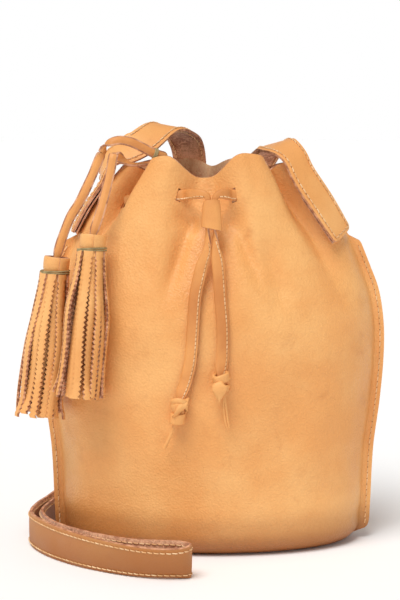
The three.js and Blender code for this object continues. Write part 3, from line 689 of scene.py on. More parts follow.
def soft_depth(angle, level):
    """Furrows, slack and the crease above the turned-under edge, as a depth into the bag."""
    a, _ = oval_at(level)
    x = a * np.cos(np.radians(angle))
    front = np.sin(np.radians(angle)) < 0
    depth = 0
    for line, width, full, (fade_low, low, high, fade_high) in FURROWS:
        heights = [height for height, _ in line][::-1]
        places = [place for _, place in line][::-1]
        apart = (x - np.interp(level, heights, places)) / width
        shown = smooth(fade_low, low, level) * (1 - smooth(high, fade_high, level))
        depth = depth + full * np.exp(-apart ** 2) * shown
    for centre_x, centre_z, half_x, half_z, full in PUCKERS:
        depth = depth + full * np.exp(-((x - centre_x) / half_x) ** 2 - ((level - centre_z) / half_z) ** 2)
    depth = np.where(front, depth, depth * BACK_SHARE)
    around = np.radians(angle) * MEAN_RADIUS
    slack = sum(wobble(around, level, seed, wavelength) * full for seed, wavelength, full in SLACK)
    seed, wavelength, full = RIM_SLACK
    slack = slack + wobble(around, level * 0.5, seed, wavelength) * full * smooth(*RIM_SLACK_HEIGHTS, level)
    crease = sum(full * np.exp(-((level - height) / half) ** 2) for height, half, full in CREASES)
    calm = smooth(0, CALM_DEGREES, 90 - np.abs(np.abs(degrees_apart(angle, 0)) - 90))
    return (depth + slack * smooth(*SLACK_STARTS, level)) * calm + crease


def wall_point(angle, level, inset, height=None):
    """A point of the leather, inset from its outside. Angles run from +X at 0 to the front at -90."""
    a, b = oval_at(level)
    turn = np.radians(angle)
    normal_x = np.cos(turn) / a
    normal_y = np.sin(turn) / b
    size = np.hypot(normal_x, normal_y)
    inwards = fold_depth(angle, level) + soft_depth(angle, level) + inset
    z = height_of(angle, level) if height is None else height + 0 * angle
    x = a * np.cos(turn) - normal_x / size * inwards
    y = b * np.sin(turn) - normal_y / size * inwards
    return np.stack(np.broadcast_arrays(x, y, z), axis=-1)


ROLL_ROWS = 12
WALL_ROWS = 136
WALL_COLUMNS = 150
CORNER_COLUMNS = 6
FIN_COLUMNS = 5
SIDE_START = 7                  # degrees from the seam to where the wall starts to turn out into the fin
FIN_ROOT = 1.2                  # the turn ends this far out from the oval
FIN_TURN_SLOPES = (7, 2.2)      # how far the turn keeps the wall's and the fin's direction


def wall_angles(side):
    return side * np.linspace(SIDE_START, 180 - SIDE_START, WALL_COLUMNS)


def fin_reach(height):
    """Width of the fin: full between its rounded ends, and a stub above and below."""
    shown = smooth(FIN_BOTTOM - 1.5, FIN_BOTTOM + 3, height) * (1 - smooth(FIN_TOP, FIN_TOP + 6, height))
    return mix(FIN_STUB, FIN_WIDTH, shown)


def corner_points(start, start_slope, end, end_slope, shares):
    u = shares[None, :, None]
    return (
        (1 + 2 * u) * (1 - u) ** 2 * start[:, None]
        + u * (1 - u) ** 2 * start_slope[:, None]
        + u ** 2 * (3 - 2 * u) * end[:, None]
        + u ** 2 * (u - 1) * end_slope[:, None]
    )


def panel_layer(side, rows, is_outer):
    """One face of a panel, as rows of points from one fin's edge to the other's."""
    level, height, inset = rows
    angles = wall_angles(side)
    fixed = np.isfinite(height)
    wall = wall_point(angles[None, :], level[:, None], inset[:, None])
    wall[fixed, :, 2] = height[fixed, None]
    a, _ = oval_at(level)
    halves = []
    for direction, edge, after in ((1, 0, 1), (-1, -1, -2)):
        z = wall[:, edge, 2]
        seam_z = np.where(fixed, height, height_of(0 if direction > 0 else 180, level))
        y = side * (GAP / 2 + (LEATHER if is_outer else 0)) + 0 * z
        reach = fin_reach(seam_z)
        root_x = a - inset + (np.minimum(FIN_ROOT, reach * 0.5) if is_outer else 0)
        tip_x = a - (inset if is_outer else inset - LEATHER) + reach
        root = np.stack([direction * root_x, y, seam_z], axis=-1)
        slope = unit(wall[:, edge] - wall[:, after]) * FIN_TURN_SLOPES[0]
        out = np.stack([direction * (FIN_TURN_SLOPES[1] + 0 * z), 0 * z, 0 * z], axis=-1)
        shares = np.linspace(0, 1, CORNER_COLUMNS + 2)[1:]
        corner = corner_points(wall[:, edge], slope, root, out, shares)
        spread = np.linspace(0, 1, FIN_COLUMNS + 1)[1:]
        x = direction * mix(root_x[:, None], tip_x[:, None], spread[None, :])
        fin = np.stack([x, y[:, None] + 0 * x, seam_z[:, None] + 0 * x], axis=-1)
        halves.append(np.concatenate([corner, fin], axis=1))
    return np.concatenate([halves[0][:, ::-1], wall, halves[1]], axis=1)


def panel_rows(is_outer):
    """Level, fixed height and inset of each row, from the turned-under edge to the rim."""
    turn = np.radians(np.linspace(90, 0, ROLL_ROWS, endpoint=False))
    tight = ROLL - (0 if is_outer else LEATHER)
    roll_level = ROLL * (1 - np.sin(turn))
    roll_height = ROLL - tight * np.sin(turn)
    roll_inset = ROLL - tight * np.cos(turn)
    wall_level = np.linspace(ROLL, TOP, WALL_ROWS)
    wall_height = np.full(WALL_ROWS, np.nan)
    wall_inset = np.full(WALL_ROWS, 0.0 if is_outer else LEATHER)
    return tuple(
        np.concatenate(pair)
        for pair in ((roll_level, wall_level), (roll_height, wall_height), (roll_inset, wall_inset))
    )


def slot_cells(side, rows):
    """The cells of a panel's grid that are cut away for the cord, as a mask of what is kept."""
    level = rows[0]
    fins = CORNER_COLUMNS + 1 + FIN_COLUMNS
    angles = wall_angles(side)
    kept = np.ones((len(level) - 1, WALL_COLUMNS + 2 * fins - 1), bool)
    for angle in SLOT_ANGLES:
        if side * angle < 0:
            continue
        column = fins + int(np.argmin(np.abs(angles - angle)))
        heights = height_of(angle, level)
        middle = cord_height(angle)
        inside = (heights[:-1] > middle - SLOT_HALF_HEIGHT) & (heights[1:] < middle + SLOT_HALF_HEIGHT)
        kept[inside, column - 1:column + 1] = False
    return kept


def shell(outer, inner, kept):
    """A closed sheet of leather between two grids of points, open where cells aren't kept."""
    rows, columns = outer.shape[:2]
    size = rows * columns
    faces = []
    indices = []

    def corner(i, j, is_inner):
        return i * columns + j + (size if is_inner else 0)

    for i in range(rows - 1):
        for j in range(columns - 1):
            if not kept[i, j]:
                continue
            square = ((i, j), (i, j + 1), (i + 1, j + 1), (i + 1, j))
            faces.append(tuple(corner(*place, False) for place in square))
            faces.append(tuple(corner(*place, True) for place in square[::-1]))
            indices += [0, 1]
            neighbours = ((i - 1, j), (i, j + 1), (i + 1, j), (i, j - 1))
            for k, (row, column) in enumerate(neighbours):
                beyond = not (0 <= row < rows - 1 and 0 <= column < columns - 1)
                if beyond or not kept[row, column]:
                    first = square[k]
                    second = square[(k + 1) % 4]
                    ends = ((second, False), (first, False), (first, True), (second, True))
                    faces.append(tuple(corner(*place, is_inner) for place, is_inner in ends))
                    indices.append(2)
    points = np.concatenate([outer.reshape(-1, 3), inner.reshape(-1, 3)])
    return points, faces, indices


def drop_unused(points, faces):
    used = np.zeros(len(points), bool)
    for face in faces:
        used[list(face)] = True
    place = np.cumsum(used) - 1
    return points[used], [tuple(place[list(face)]) for face in faces]


def make_panel(name, side):
    rows = panel_rows(True)
    outer = panel_layer(side, rows, True)
    inner = panel_layer(side, panel_rows(False), False)
    if side > 0:
        outer = outer[:, ::-1]
        inner = inner[:, ::-1]
    kept = slot_cells(side, rows)
    if side > 0:
        kept = kept[:, ::-1]
    points, faces, indices = shell(outer, inner, kept)
    points, faces = drop_unused(points, faces)
    piece = make_object(name, points, faces, [BODY_GRAIN, BODY_FLESH_PAINTED_LIGHT, RAW_EDGE], indices)
    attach(piece, "bag")
    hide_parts(name)


FIN_STITCH_SHARE = 0.6


def make_side_stitches(name, direction):
    heights = np.arange(FIN_BOTTOM + 5, FIN_TOP - 1, 2.0)
    a, _ = oval_at(heights)
    pieces = Pieces()
    for side in (-1, 1):
        y = side * (GAP / 2 + LEATHER)
        line = np.stack([direction * (a + FIN_WIDTH * FIN_STITCH_SHARE), y + 0 * heights, heights], axis=1)
        outward = np.tile([0.0, side, 0.0], (len(line), 1))
        add_stitch_row(pieces, line, outward)
    piece = pieces.build(name.replace("thread", "stitches"), STITCH_MATERIALS)
    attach(piece, "bag")
    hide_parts(name)


# ---------- shoulder strap ----------

STRAP_WIDTH = 25
STRAP_THICKNESS = 3.2
BACKING_THICKNESS = 2
BACKING_MARGIN = 0.6
TAB_LIFT = 4.6
STRAP_STEP = 3
STRAP_CORNER = 4
STITCH_INSET = 2.7
END_ROW_POINTS = 12


# The CAD's folds: angle at the rim, turn per millimetre below it, depth, half spread, dip of the rim.
CAD_FOLDS = (
    (-93.5, 0, 15, 9, 21),
    (-50, 0.13, 16, 8, 12),
    (-147, -0.13, 17, 8, 10),
    (90, 0, 15, 9, 6),
    (47, -0.1, 15, 8, 6),
    (134, 0.1, 15, 8, 6),
)
CAD_RIM_RISE_FRONT = 13


def cad_wall_point(angle, level):
    """The CAD's own wall, which its folds shape a little differently: the strap's ends lie on it."""
    a, b = oval_at(level)
    turn = math.radians(angle)
    normal = np.array([math.cos(turn) / a, math.sin(turn) / b])
    normal = normal / np.linalg.norm(normal)
    depth = 0
    dip = 0
    for centre, bend, full, spread, fall in CAD_FOLDS:
        apart = degrees_apart(angle, centre + bend * (TOP - level))
        depth = max(depth, full * math.exp(-(apart / spread) ** 2))
        dip += fall * math.exp(-(degrees_apart(angle, centre) / spread) ** 2)
    sine = math.sin(turn)
    rim = RIM_SIDE + (CAD_RIM_RISE_FRONT if sine < 0 else RIM_RISE_BACK) * sine ** 2 - dip
    z = level if level <= NECK else NECK + (level - NECK) * (rim - NECK) / (TOP - NECK)
    inwards = depth * float(smooth(GATHER_LOW, GATHER_HIGH, level))
    x = a * math.cos(turn) - normal[0] * inwards
    y = b * math.sin(turn) - normal[1] * inwards
    return np.array([x, y, z])


def tab_station(angle, level):
    around = cad_wall_point(angle + 1, level) - cad_wall_point(angle - 1, level)
    up = cad_wall_point(angle, level + 1) - cad_wall_point(angle, level - 1)
    normal = unit(np.cross(around, up))
    slope = unit(cad_wall_point(angle, level + 2) - cad_wall_point(angle, level - 2))
    return (cad_wall_point(angle, level) + normal * TAB_LIFT, np.cross(slope, normal))


def turned_over(station):
    at, across = station
    return (at, -across)


ON_EDGE = (0, 0, -1)
STRAP_STATIONS = [
    turned_over(tab_station(-178, 232)),
    turned_over(tab_station(-178, 252)),
    turned_over(tab_station(-177, 272)),
    ((-80, -4.5, 283.5), (-0.3, 0.92, 0.2)),
    ((-70, -6, 292), (-0.5, 0.8, 0.3)),
    ((-54, -8, 299), (-0.84, 0.38, 0.39)),
    ((-37, 11, 310.5), (-0.93, 0.3, 0.2)),
    ((-25, 33, 305), (-0.97, 0.1, 0.1)),
    ((-18, 48, 290), (-1, 0, 0)),
    ((-17, 60, 255), (-1, -0.1, 0.1)),
    ((-22, 69, 215), (-0.91, -0.4, 0.12)),
    ((-32, 76.5, 170), (-0.62, -0.77, 0.1)),
    ((-46, 79, 125), (0.19, -0.96, -0.1)),
    ((-63, 79, 84), (0.78, -0.43, -0.39)),
    ((-82, 74, 50), (0.67, 0.18, -0.67)),
    ((-100, 61, 27), (0.36, 0.34, -0.85)),
    ((-115, 41, 15.5), (0.1, 0.2, -0.96)),
    ((-124, 14, 12.8), ON_EDGE),
    ((-128, -17, 12.8), ON_EDGE),
    ((-117, -50, 12.8), ON_EDGE),
    ((-92, -80, 12.8), ON_EDGE),
    ((-64, -99.5, 12.8), ON_EDGE),
    ((-42, -106.5, 12.8), ON_EDGE),
    ((-24, -109, 12.8), ON_EDGE),
    ((-16.5, -114.8, 12.8), (0, 0.2, -0.98)),
    ((-25, -120.5, 12.6), (0, 0.4, -0.92)),
    ((-46, -118.5, 12.6), (0, 0.4, -0.92)),
    ((-70, -106.5, 12.7), (0.08, 0.26, -0.96)),
    ((-98, -84, 12.8), (0.06, 0.1, -0.99)),
    ((-121.5, -54.5, 12.8), ON_EDGE),
    ((-135.5, -23, 12.8), ON_EDGE),
    ((-134, 5, 12.8), ON_EDGE),
    ((-125, 34, 13.6), (0.1, 0.15, -0.98)),
    ((-112, 63, 19), (0.25, 0.3, -0.9)),
    ((-97, 86, 35), (0.45, 0.35, -0.78)),
    ((-78, 100, 62), (0.62, 0.35, -0.6)),
    ((-60, 102, 97), (0.78, 0.3, -0.47)),
    ((-42, 99, 140), (0.88, 0.25, -0.35)),
    ((-20, 92, 186), (0.94, 0.2, -0.25)),
    ((4, 83, 228), (0.97, 0.1, -0.15)),
    ((23, 70, 261), (1, 0.1, -0.1)),
    ((38, 52, 284), (0.97, 0.25, 0)),
    ((44, 31, 294.5), (0.85, 0.5, 0.1)),
    ((46.5, 9, 297.5), (0.68, 0.7, 0.2)),
    ((51.5, -11, 297), (0.53, 0.77, 0.35)),
    ((59.5, -23, 290), (0.52, 0.78, 0.35)),
    tab_station(-32, 276),
    tab_station(-29, 256),
    tab_station(-24, 231),
]
STRAP = Route(STRAP_STATIONS)
TAB_SHARE = 2 / (len(STRAP_STATIONS) - 1)
TAB_LENGTH = STRAP.distances[int(TAB_SHARE * (STRAP.SAMPLES - 1))]


def rounded_ends(distance, length, half, corner):
    """Half width of a band whose ends have rounded corners."""
    to_end = np.minimum(distance, length - distance)
    into = np.clip(corner - to_end, 0, corner)
    return half - corner + np.sqrt(np.maximum(corner ** 2 - into ** 2, 0))


def band(name, route, distances, half_width, thickness, lift, materials, sides=(0, 1, 2), rounding=0.7):
    """A flat leather band along a route. half_width is a number, or one for each distance."""
    t = route.share_at(distances)
    widths = np.broadcast_to(half_width, distances.shape)
    template = unit_band(thickness / 2, min(rounding, thickness / 2 - 0.05))
    points = sweep(route, t, scaled_sections(template, widths) + (0, lift))
    kinds = np.array(sides)[facing(template * (widths.mean(), 1))]
    indices = np.concatenate([np.tile(kinds, len(t) - 1), [sides[2], sides[2]]])
    return make_object(name, points, ring_faces(len(t), len(template)), materials, indices)


def make_strap():
    count = round(STRAP.length / STRAP_STEP)
    ends = np.array([0, 0.3, 0.8, 1.6, 2.6, 4])
    middle = np.linspace(6, STRAP.length - 6, count)
    distances = np.concatenate([ends, middle, STRAP.length - ends[::-1]])
    half = rounded_ends(distances, STRAP.length, STRAP_WIDTH / 2, STRAP_CORNER)
    half = half + 0.18 * wobble(distances, 0 * distances, 5, 60)
    piece = band("leather_strap", STRAP, distances, half, STRAP_THICKNESS, 0, [STRAP_GRAIN, FLESH, RAW_EDGE])
    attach(piece, "bag")
    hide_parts("shoulder_strap")


def strap_line(distances, along_width, side):
    t = STRAP.share_at(distances)
    line = STRAP.offset(t, along_width + 0 * distances, side * STRAP_THICKNESS / 2 + 0 * distances)
    _, _, normal, _ = STRAP.frames(t)
    return line, normal * side


def make_strap_stitches():
    """Rows along both edges on both faces, and across each end."""
    half = STRAP_WIDTH / 2 - STITCH_INSET
    spans = {
        "left_strap_stitches": ("left_strap_thread", STITCH_INSET, TAB_LENGTH),
        "strap_stitches": (None, TAB_LENGTH, STRAP.length - TAB_LENGTH),
        "right_strap_stitches": ("right_strap_thread", STRAP.length - TAB_LENGTH, STRAP.length - STITCH_INSET),
    }
    for name, (node, start, end) in spans.items():
        pieces = Pieces()
        distances = np.arange(start, end, 2.0)
        for side in (1, -1):
            if node and side < 0:
                continue
            for along in (-half, half):
                add_stitch_row(pieces, *strap_line(distances, along, side))
        if node:
            at = start if "left" in name else end
            across = np.linspace(-half, half, END_ROW_POINTS)
            t = STRAP.share_at(np.full(END_ROW_POINTS, at))
            line = STRAP.offset(t, across, np.full(END_ROW_POINTS, STRAP_THICKNESS / 2))
            _, _, normal, _ = STRAP.frames(t)
            add_stitch_row(pieces, line, normal)
        piece = pieces.build(name, STITCH_MATERIALS)
        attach(piece, "bag")
        if node:
            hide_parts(node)


def make_strap_backings():
    drop = -(STRAP_THICKNESS + BACKING_THICKNESS) / 2 - 0.1
    spans = (
        ("left_strap_backing", BACKING_MARGIN, TAB_LENGTH),
        ("right_strap_backing", STRAP.length - TAB_LENGTH, STRAP.length - BACKING_MARGIN),
    )
    for name, start, end in spans:
        distances = np.linspace(start, end, 18)
        piece = band(
            name.replace("backing", "lining"), STRAP, distances, STRAP_WIDTH / 2 - BACKING_MARGIN,
            BACKING_THICKNESS, drop, [FLESH, RAW_EDGE], sides=(0, 0, 1),
        )
        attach(piece, "bag")
        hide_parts(name)


# ---------- drawstring ----------

CORD_WIDTH = 8
CORD_THICKNESS = 3
RIGHT_SLOT = -79
LEFT_SLOT = -108
SLOT_ANGLES = (39, 55, 76, 104, 207 - 360, 221 - 360, RIGHT_SLOT, LEFT_SLOT)
OUTSIDE_SPANS = ((39, 55), (76, 104), (207, 221))
SLOT_HALF_HEIGHT = 5.2
SLOT_RAMP = 6
STAND_OFF = CORD_THICKNESS / 2 + 0.7
STRAND_OFFSET = 2.7

keeper_low, keeper_high = box_mm("cord_keeper")
KEEPER_CENTRE = (keeper_low + keeper_high) / 2
KEEPER_HEIGHT = 21
KEEPER_HALF_SIZES = (7.0, 4.3)
KEEPER_THICKNESS = 1.5
KEEPER_SQUARENESS = 0.84        # 1 is an oval, less is squarer
STRAND_SLOPE = 0.13
CORD_LEVEL = 254                # at the side seams
CORD_RISE = 10                  # from there to the middle of the front


def cord_height(angle):
    return CORD_LEVEL + CORD_RISE * np.sin(np.radians(angle)) ** 2


def cord_point(angle, share):
    """A place of the cord: share is 0 inside the wall and 1 outside it."""
    rim = float(rim_height(angle))
    height = float(cord_height(angle))
    level = NECK + (height - NECK) * (TOP - NECK) / (rim - NECK)
    angle = float((angle + 180) % 360 - 180)
    inner = wall_point(np.array([angle]), np.array([level]), LEATHER + STAND_OFF)[0]
    outer = wall_point(np.array([angle]), np.array([level]), -STAND_OFF)[0]
    return mix(inner, outer, share)


def outside_share(angle):
    share = 0
    for low, high in OUTSIDE_SPANS:
        into = float(smooth(low - SLOT_RAMP / 2, low + SLOT_RAMP / 2, angle))
        out = float(smooth(high - SLOT_RAMP / 2, high + SLOT_RAMP / 2, angle))
        share = max(share, into * (1 - out))
    return share


def strand_point(direction, height):
    y = KEEPER_CENTRE[1] + STRAND_SLOPE * (height - KEEPER_CENTRE[2])
    return np.array([KEEPER_CENTRE[0] + direction * STRAND_OFFSET, y, height])


def front_run(direction, slot_angle):
    """From inside the keeper, over its top edge and sideways into the slot."""
    top = strand_point(direction, 262.5)
    return [
        (strand_point(direction, 244), (-direction, 0, 0)),
        (strand_point(direction, 254), (-direction, 0, 0)),
        (top, (-direction, 0, 0.1)),
        (top + (direction * 4, 0.6, 2.6), (-direction * 0.5, 0, 0.87)),
        (mix(top, cord_point(slot_angle, 1), 0.62) + (0, -1.5, 1.6), (0, 0, 1)),
        (cord_point(slot_angle + direction * -2, 1.05), (0, 0, 1)),
        (cord_point(slot_angle + direction * 3, 0.1), (0, 0, 1)),
    ]


def make_drawstring():
    stations = front_run(1, RIGHT_SLOT)
    for angle in range(RIGHT_SLOT + 8, LEFT_SLOT + 360 - 7, 4):
        stations.append((cord_point(angle, outside_share(angle)), (0, 0, 1)))
    stations += front_run(-1, LEFT_SLOT)[::-1]
    route = Route(stations)
    t = route.evenly(2.2)
    away = np.minimum(t, 1 - t) * (len(stations) - 1)
    share = smooth(1.6, 4.2, away)
    half_width = mix(2.2, CORD_WIDTH / 2, share)
    half_thickness = mix(1.9, CORD_THICKNESS / 2, share)
    piece = folded_cord("drawstring_cord", route, t, half_width, half_thickness)
    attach(piece, "bag")
    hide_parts("drawstring")
    shown = away < 7.2
    pieces = Pieces()
    for low, high in ((0.0, 0.5), (0.5, 1.0)):
        part = shown & (t >= low) & (t <= high) & (away > 2.6)
        add_cord_stitches(pieces, route, t[part], half_width[part], half_thickness[part])
    stitches = pieces.build("drawstring_stitches", STITCH_MATERIALS)
    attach(stitches, "bag")


# The raw edge of a folded cord: its two plies in section, as shares of the half width and thickness.
RAW_PLIES = (
    (-0.45, 0.86), (-0.92, 0.62), (-1.0, 0.5), (-1.0, 0.06), (-0.8, 0.0),
    (-1.0, -0.06), (-1.0, -0.5), (-0.92, -0.62), (-0.45, -0.86),
)
CORD_STITCH_ACROSS = -0.62      # of the half width, towards the raw edge
CORD_STITCH_HEIGHT = 0.79       # of the half thickness
CORD_STITCH_PITCH = 3.1
CORD_STITCH_SLANT = 0.2


def folded_cord(name, route, t, half_width, half_thickness):
    """A strip folded over and stitched: round on one edge, with two thin raw plies on the other."""
    turn = np.linspace(-math.pi / 2, math.pi / 2, 7)
    rows = len(t)
    body = np.stack([0.35 + 0.65 * np.cos(turn), np.sin(turn)], axis=1)
    template = np.vstack([body, RAW_PLIES])
    points = sweep(route, t, scaled_sections(template, half_width, half_thickness))
    kinds = np.array([0] * 9 + [1] * 4 + [0] * 3)
    indices = np.concatenate([np.tile(kinds, rows - 1), [1, 1]])
    return make_object(name, points, ring_faces(rows, len(template)), [CORD_GRAIN, RAW_EDGE], indices, 50)


def add_cord_stitches(pieces, route, t, half_width, half_thickness):
    """A row near the raw edge of a folded cord, on both its faces."""
    for face in (1, -1):
        line = route.offset(t, CORD_STITCH_ACROSS * half_width, face * CORD_STITCH_HEIGHT * half_thickness)
        _, _, normal, _ = route.frames(t)
        add_stitch_row(pieces, line, normal * face, CORD_STITCH_PITCH, CORD_STITCH_SLANT)


LEFT_END = (
    (-4.4, -60.9, 224.6),
    (-7.6, -62.2, 216),
    (-10.6, -63.8, 204),
    (-13, -65.8, 191),
    (-14.6, -68, 168),
    (-16.2, -69, 147),
    (-19.6, -69.2, 132),
    (-22.7, -70.8, 123),
    (-24.2, -72.6, 116),
)
RIGHT_END = (
    (2, -60.9, 224.6),
    (3.4, -62.2, 216),
    (4.4, -63.8, 204),
    (5.2, -65.8, 191),
    (6.8, -68, 170),
    (6.7, -69, 150),
    (5.6, -71, 141),
    (5.3, -73.6, 134),
)
CORD_END_WIDTH = 9


def make_cord_end(side, direction, free_points, twist):
    """A cord end from inside the keeper down to its knot."""
    above = [strand_point(direction, height) for height in (246, 240, 233)]
    points = [*above, *free_points]
    widths = [(-0.2 * direction, -0.98, 0)] * 2 + [(0.7, -0.7, 0)]
    for i in range(len(free_points)):
        lean = twist * i / len(free_points)
        widths.append((math.cos(lean), -math.sin(lean), 0))
    route = Route(list(zip(points, [tuple(-np.array(width)) for width in widths])))
    t = route.evenly(1.6)
    shown = smooth(0.16, 0.42, t)
    half_width = mix(2.1, CORD_END_WIDTH / 2, shown) * (1 - 0.42 * smooth(0.88, 0.99, t))
    half_thickness = mix(1.5, CORD_THICKNESS / 2 * 0.9, shown)
    cord = folded_cord(f"{side}_cord", route, t, half_width, half_thickness)
    pieces = Pieces()
    part = (t > 0.2) & (t < 0.97)
    add_cord_stitches(pieces, route, t[part], half_width[part], half_thickness[part])
    stitches = pieces.build(f"{side}_cord_stitches", STITCH_MATERIALS)
    for piece in (cord, stitches):
        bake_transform(piece)
    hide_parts(f"{side}_cord_end")
    path = route.frames(t)[0] * MM
    return cord, stitches, path, route.length


def make_keeper():
    """A short tube of leather wrapped round both strands; its overlap at the back is not modelled."""
    half_x, half_y = KEEPER_HALF_SIZES
    turns = full_turn(40)
    levels = np.linspace(0, 1, 15)
    outer, inner = [], []
    for share in levels:
        belly = 1 + 0.04 * math.sin(math.pi * share) + 0.06 * (1 - share) ** 3 - 0.10 * share ** 6
        pinch = 1 - 0.05 * math.exp(-((share - 0.55) / 0.2) ** 2)
        radius_x = half_x * belly * mix(0.90, 1.02, 1 - share)
        radius_y = half_y * belly * pinch
        x = np.sign(np.cos(turns)) * np.abs(np.cos(turns)) ** KEEPER_SQUARENESS * radius_x
        y = np.sign(np.sin(turns)) * np.abs(np.sin(turns)) ** KEEPER_SQUARENESS * radius_y
        slant = 1.3 * x / half_x * (1 - share) - 0.4 * x / half_x * share
        crown = 0.9 * (x / half_x) ** 2 * share ** 4
        z = (share - 0.5) * KEEPER_HEIGHT - slant - crown
        outer.append(np.stack([x, y, z], axis=1))
        inner_x = x * (1 - KEEPER_THICKNESS / radius_x)
        inner_y = y * (1 - KEEPER_THICKNESS / radius_y)
        inner.append(np.stack([inner_x, inner_y, z], axis=1))
    lean = math.atan(STRAND_SLOPE)
    turn = np.array([[1, 0, 0], [0, math.cos(lean), math.sin(lean)], [0, -math.sin(lean), math.cos(lean)]])
    rings = np.array(inner[:1] + outer + inner[::-1])
    points = rings.reshape(-1, 3) @ turn.T + KEEPER_CENTRE
    sides = len(turns)
    faces = ring_faces(len(rings), sides, caps=False)
    kinds = [1] * sides + [0] * sides * (len(levels) - 1) + [1] * sides + [2] * sides * (len(levels) - 1)
    piece = make_object("leather_keeper", points, faces, [CORD_GRAIN, RAW_EDGE, FLESH], kinds, 50)
    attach(piece, "keeper")
    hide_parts("cord_keeper")


def round_axis(turns, u, v):
    """Directions round an axis, one for each angle, from the two directions across it."""
    return np.cos(turns)[:, None] * u + np.sin(turns)[:, None] * v


def wrap_ring(centre, axis, radius, half_height, thickness, tilt, seed):
    """A band of leather wound once round an axis, as rings of points."""
    axis = unit(np.asarray(axis, float))
    u = unit(np.cross((0, 1, 0), axis))
    v = np.cross(axis, u)
    turns = np.linspace(0, 2 * math.pi, 41)
    out = round_axis(turns, u, v)
    waver = wobble(turns * 6, 0 * turns, seed, 14)
    waver[-1] = waver[0]
    shift = tilt * np.cos(turns) + 0.35 * waver
    size = radius * (1 + 0.05 * waver)
    section = band_section(half_height, thickness / 2, thickness / 2 - 0.1)
    centres = centre + out * size[:, None] + axis * shift[:, None]
    rings = centres[:, None, :] + section[None, :, 0:1] * axis + section[None, :, 1:2] * out[:, None, :]
    return rings[:-1].reshape(-1, 3), loop_faces(len(turns) - 1, len(section))


def loop_faces(rings, sides):
    faces = []
    for i in range(rings):
        after = (i + 1) % rings
        for k in range(sides):
            beside = (k + 1) % sides
            faces.append((i * sides + k, i * sides + beside, after * sides + beside, after * sides + k))
    return faces


def strip_solid(points, across, half_width, half_thickness, steps=24):
    """A short strip of leather along a few points, tapering with half_width(t)."""
    route = Route(list(zip(points, across)))
    t = route.evenly(max(route.length / steps, 0.4))
    template = unit_band(half_thickness, half_thickness - 0.05)
    widths = np.array([half_width(value) for value in t])
    return sweep(route, t, scaled_sections(template, widths)), ring_faces(len(t), len(template))


LEFT_KNOT_TOP = np.array([-23.6, -72.8, 120.9])
RIGHT_KNOT_TOP = np.array([5.2, -74, 139.1])


def knot_places(top, axis):
    """A function that gives points of a knot by their distance to the right, to the front and down."""
    def place(right, front, down):
        return top + np.array([right, -front, 0]) + axis * down
    return place


def make_left_knot():
    """A tight knot: two crossed turns of the cord over a wound collar, with a thin tail."""
    top = LEFT_KNOT_TOP
    axis = unit(np.array([-0.12, 0, -1]))
    pieces = Pieces()
    place = knot_places(top, axis)
    pieces.add(*wrap_ring(place(0, 0, 15.4), axis, 4.6, 3.9, 1.9, 0.5, 2))
    pieces.add(*wrap_ring(place(0, 0, 6.2), unit(axis + (0.5, 0, 0)), 4.9, 3.1, 2.4, 0.3, 4))
    over = [
        place(-5, -1, 8), place(-4.6, 3.5, 3), place(0.5, 5.6, 2.2),
        place(5, 3.6, 5.4), place(5.4, -1, 9),
    ]
    pieces.add(*strip_solid(over, [(0, -0.3, 1)] * 5, lambda t: 2.6, 1.1))
    down = [
        place(4.5, -2, 1.5), place(3.4, 4.2, 3.5), place(0.6, 6.4, 7.5),
        place(-1.4, 5.2, 11.5), place(-2, 2, 13),
    ]
    pieces.add(*strip_solid(down, [(0.8, 0.3, 0.4)] * 5, lambda t: 2.7, 1.1))
    core = [place(0, 0, depth) for depth in (3, 7, 12, 18)]
    pieces.add(*strip_solid(core, [(1, 0, 0)] * 4, lambda t: 4.0, 2.6))
    tail = [place(-1, 0, 17), (-29.5, -72, 96), (-32.4, -71.8, 89), (-35.2, -71.5, 83.4)]

    def tail_width(t):
        return mix(1.3, 1.0, t) + 0.5 * float(smooth(0.8, 1, t))

    pieces.add(*strip_solid(tail, [(1, 0, 0.3)] * 4, tail_width, 0.8))
    return finish_knot(pieces, "left")


def make_right_knot():
    """A wound collar with a pointed flap of the cord folded down over it, and two thin tails."""
    top = RIGHT_KNOT_TOP
    axis = np.array([0.0, 0, -1])
    pieces = Pieces()
    place = knot_places(top, axis)
    pieces.add(*wrap_ring(place(0.3, 0, 3.8), unit(axis + (0.16, 0.2, 0)), 5.0, 3.4, 2.6, 0.4, 6))
    pieces.add(*wrap_ring(place(1.2, 0, 10.2), unit(axis + (-0.35, 0, 0)), 4.2, 2.6, 2.2, 0.3, 7))
    flap = [
        place(0.5, 4.5, 5), place(-0.5, 6.8, 8), place(-0.9, 6.9, 12),
        place(-0.9, 5.4, 17), place(-0.6, 4.6, 20.5),
    ]

    def flap_width(t):
        return 0.5 + 4.6 * float(smooth(0, 0.3, t)) * (1 - float(smooth(0.42, 1.02, t)))

    pieces.add(*strip_solid(flap, [(1, 0, 0)] * 5, flap_width, 1.0))
    core = [place(0, 0, 3), place(0, 0, 7), place(0, 0, 11), place(0.6, 0, 17)]
    pieces.add(*strip_solid(core, [(1, 0, 0)] * 4, lambda t: 3.8, 2.6))
    for shift in (-0.9, 0.9):
        tail = [
            place(2.5, 0, 14), (8.4 + shift, -73, 113),
            (9.4 + shift, -72.8, 105), (10.6 + shift, -72.5, 98.7),
        ]
        pieces.add(*strip_solid(tail, [(1, 0.2, 0)] * 4, lambda t: 0.75, 0.7))
    return finish_knot(pieces, "right")


def finish_knot(pieces, side):
    piece = pieces.build(f"{side}_cord_knot", [KNOT_GRAIN], 60)
    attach(piece, f"{side}_end")
    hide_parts(f"{side}_knot")
    return piece


# ---------- tassels ----------

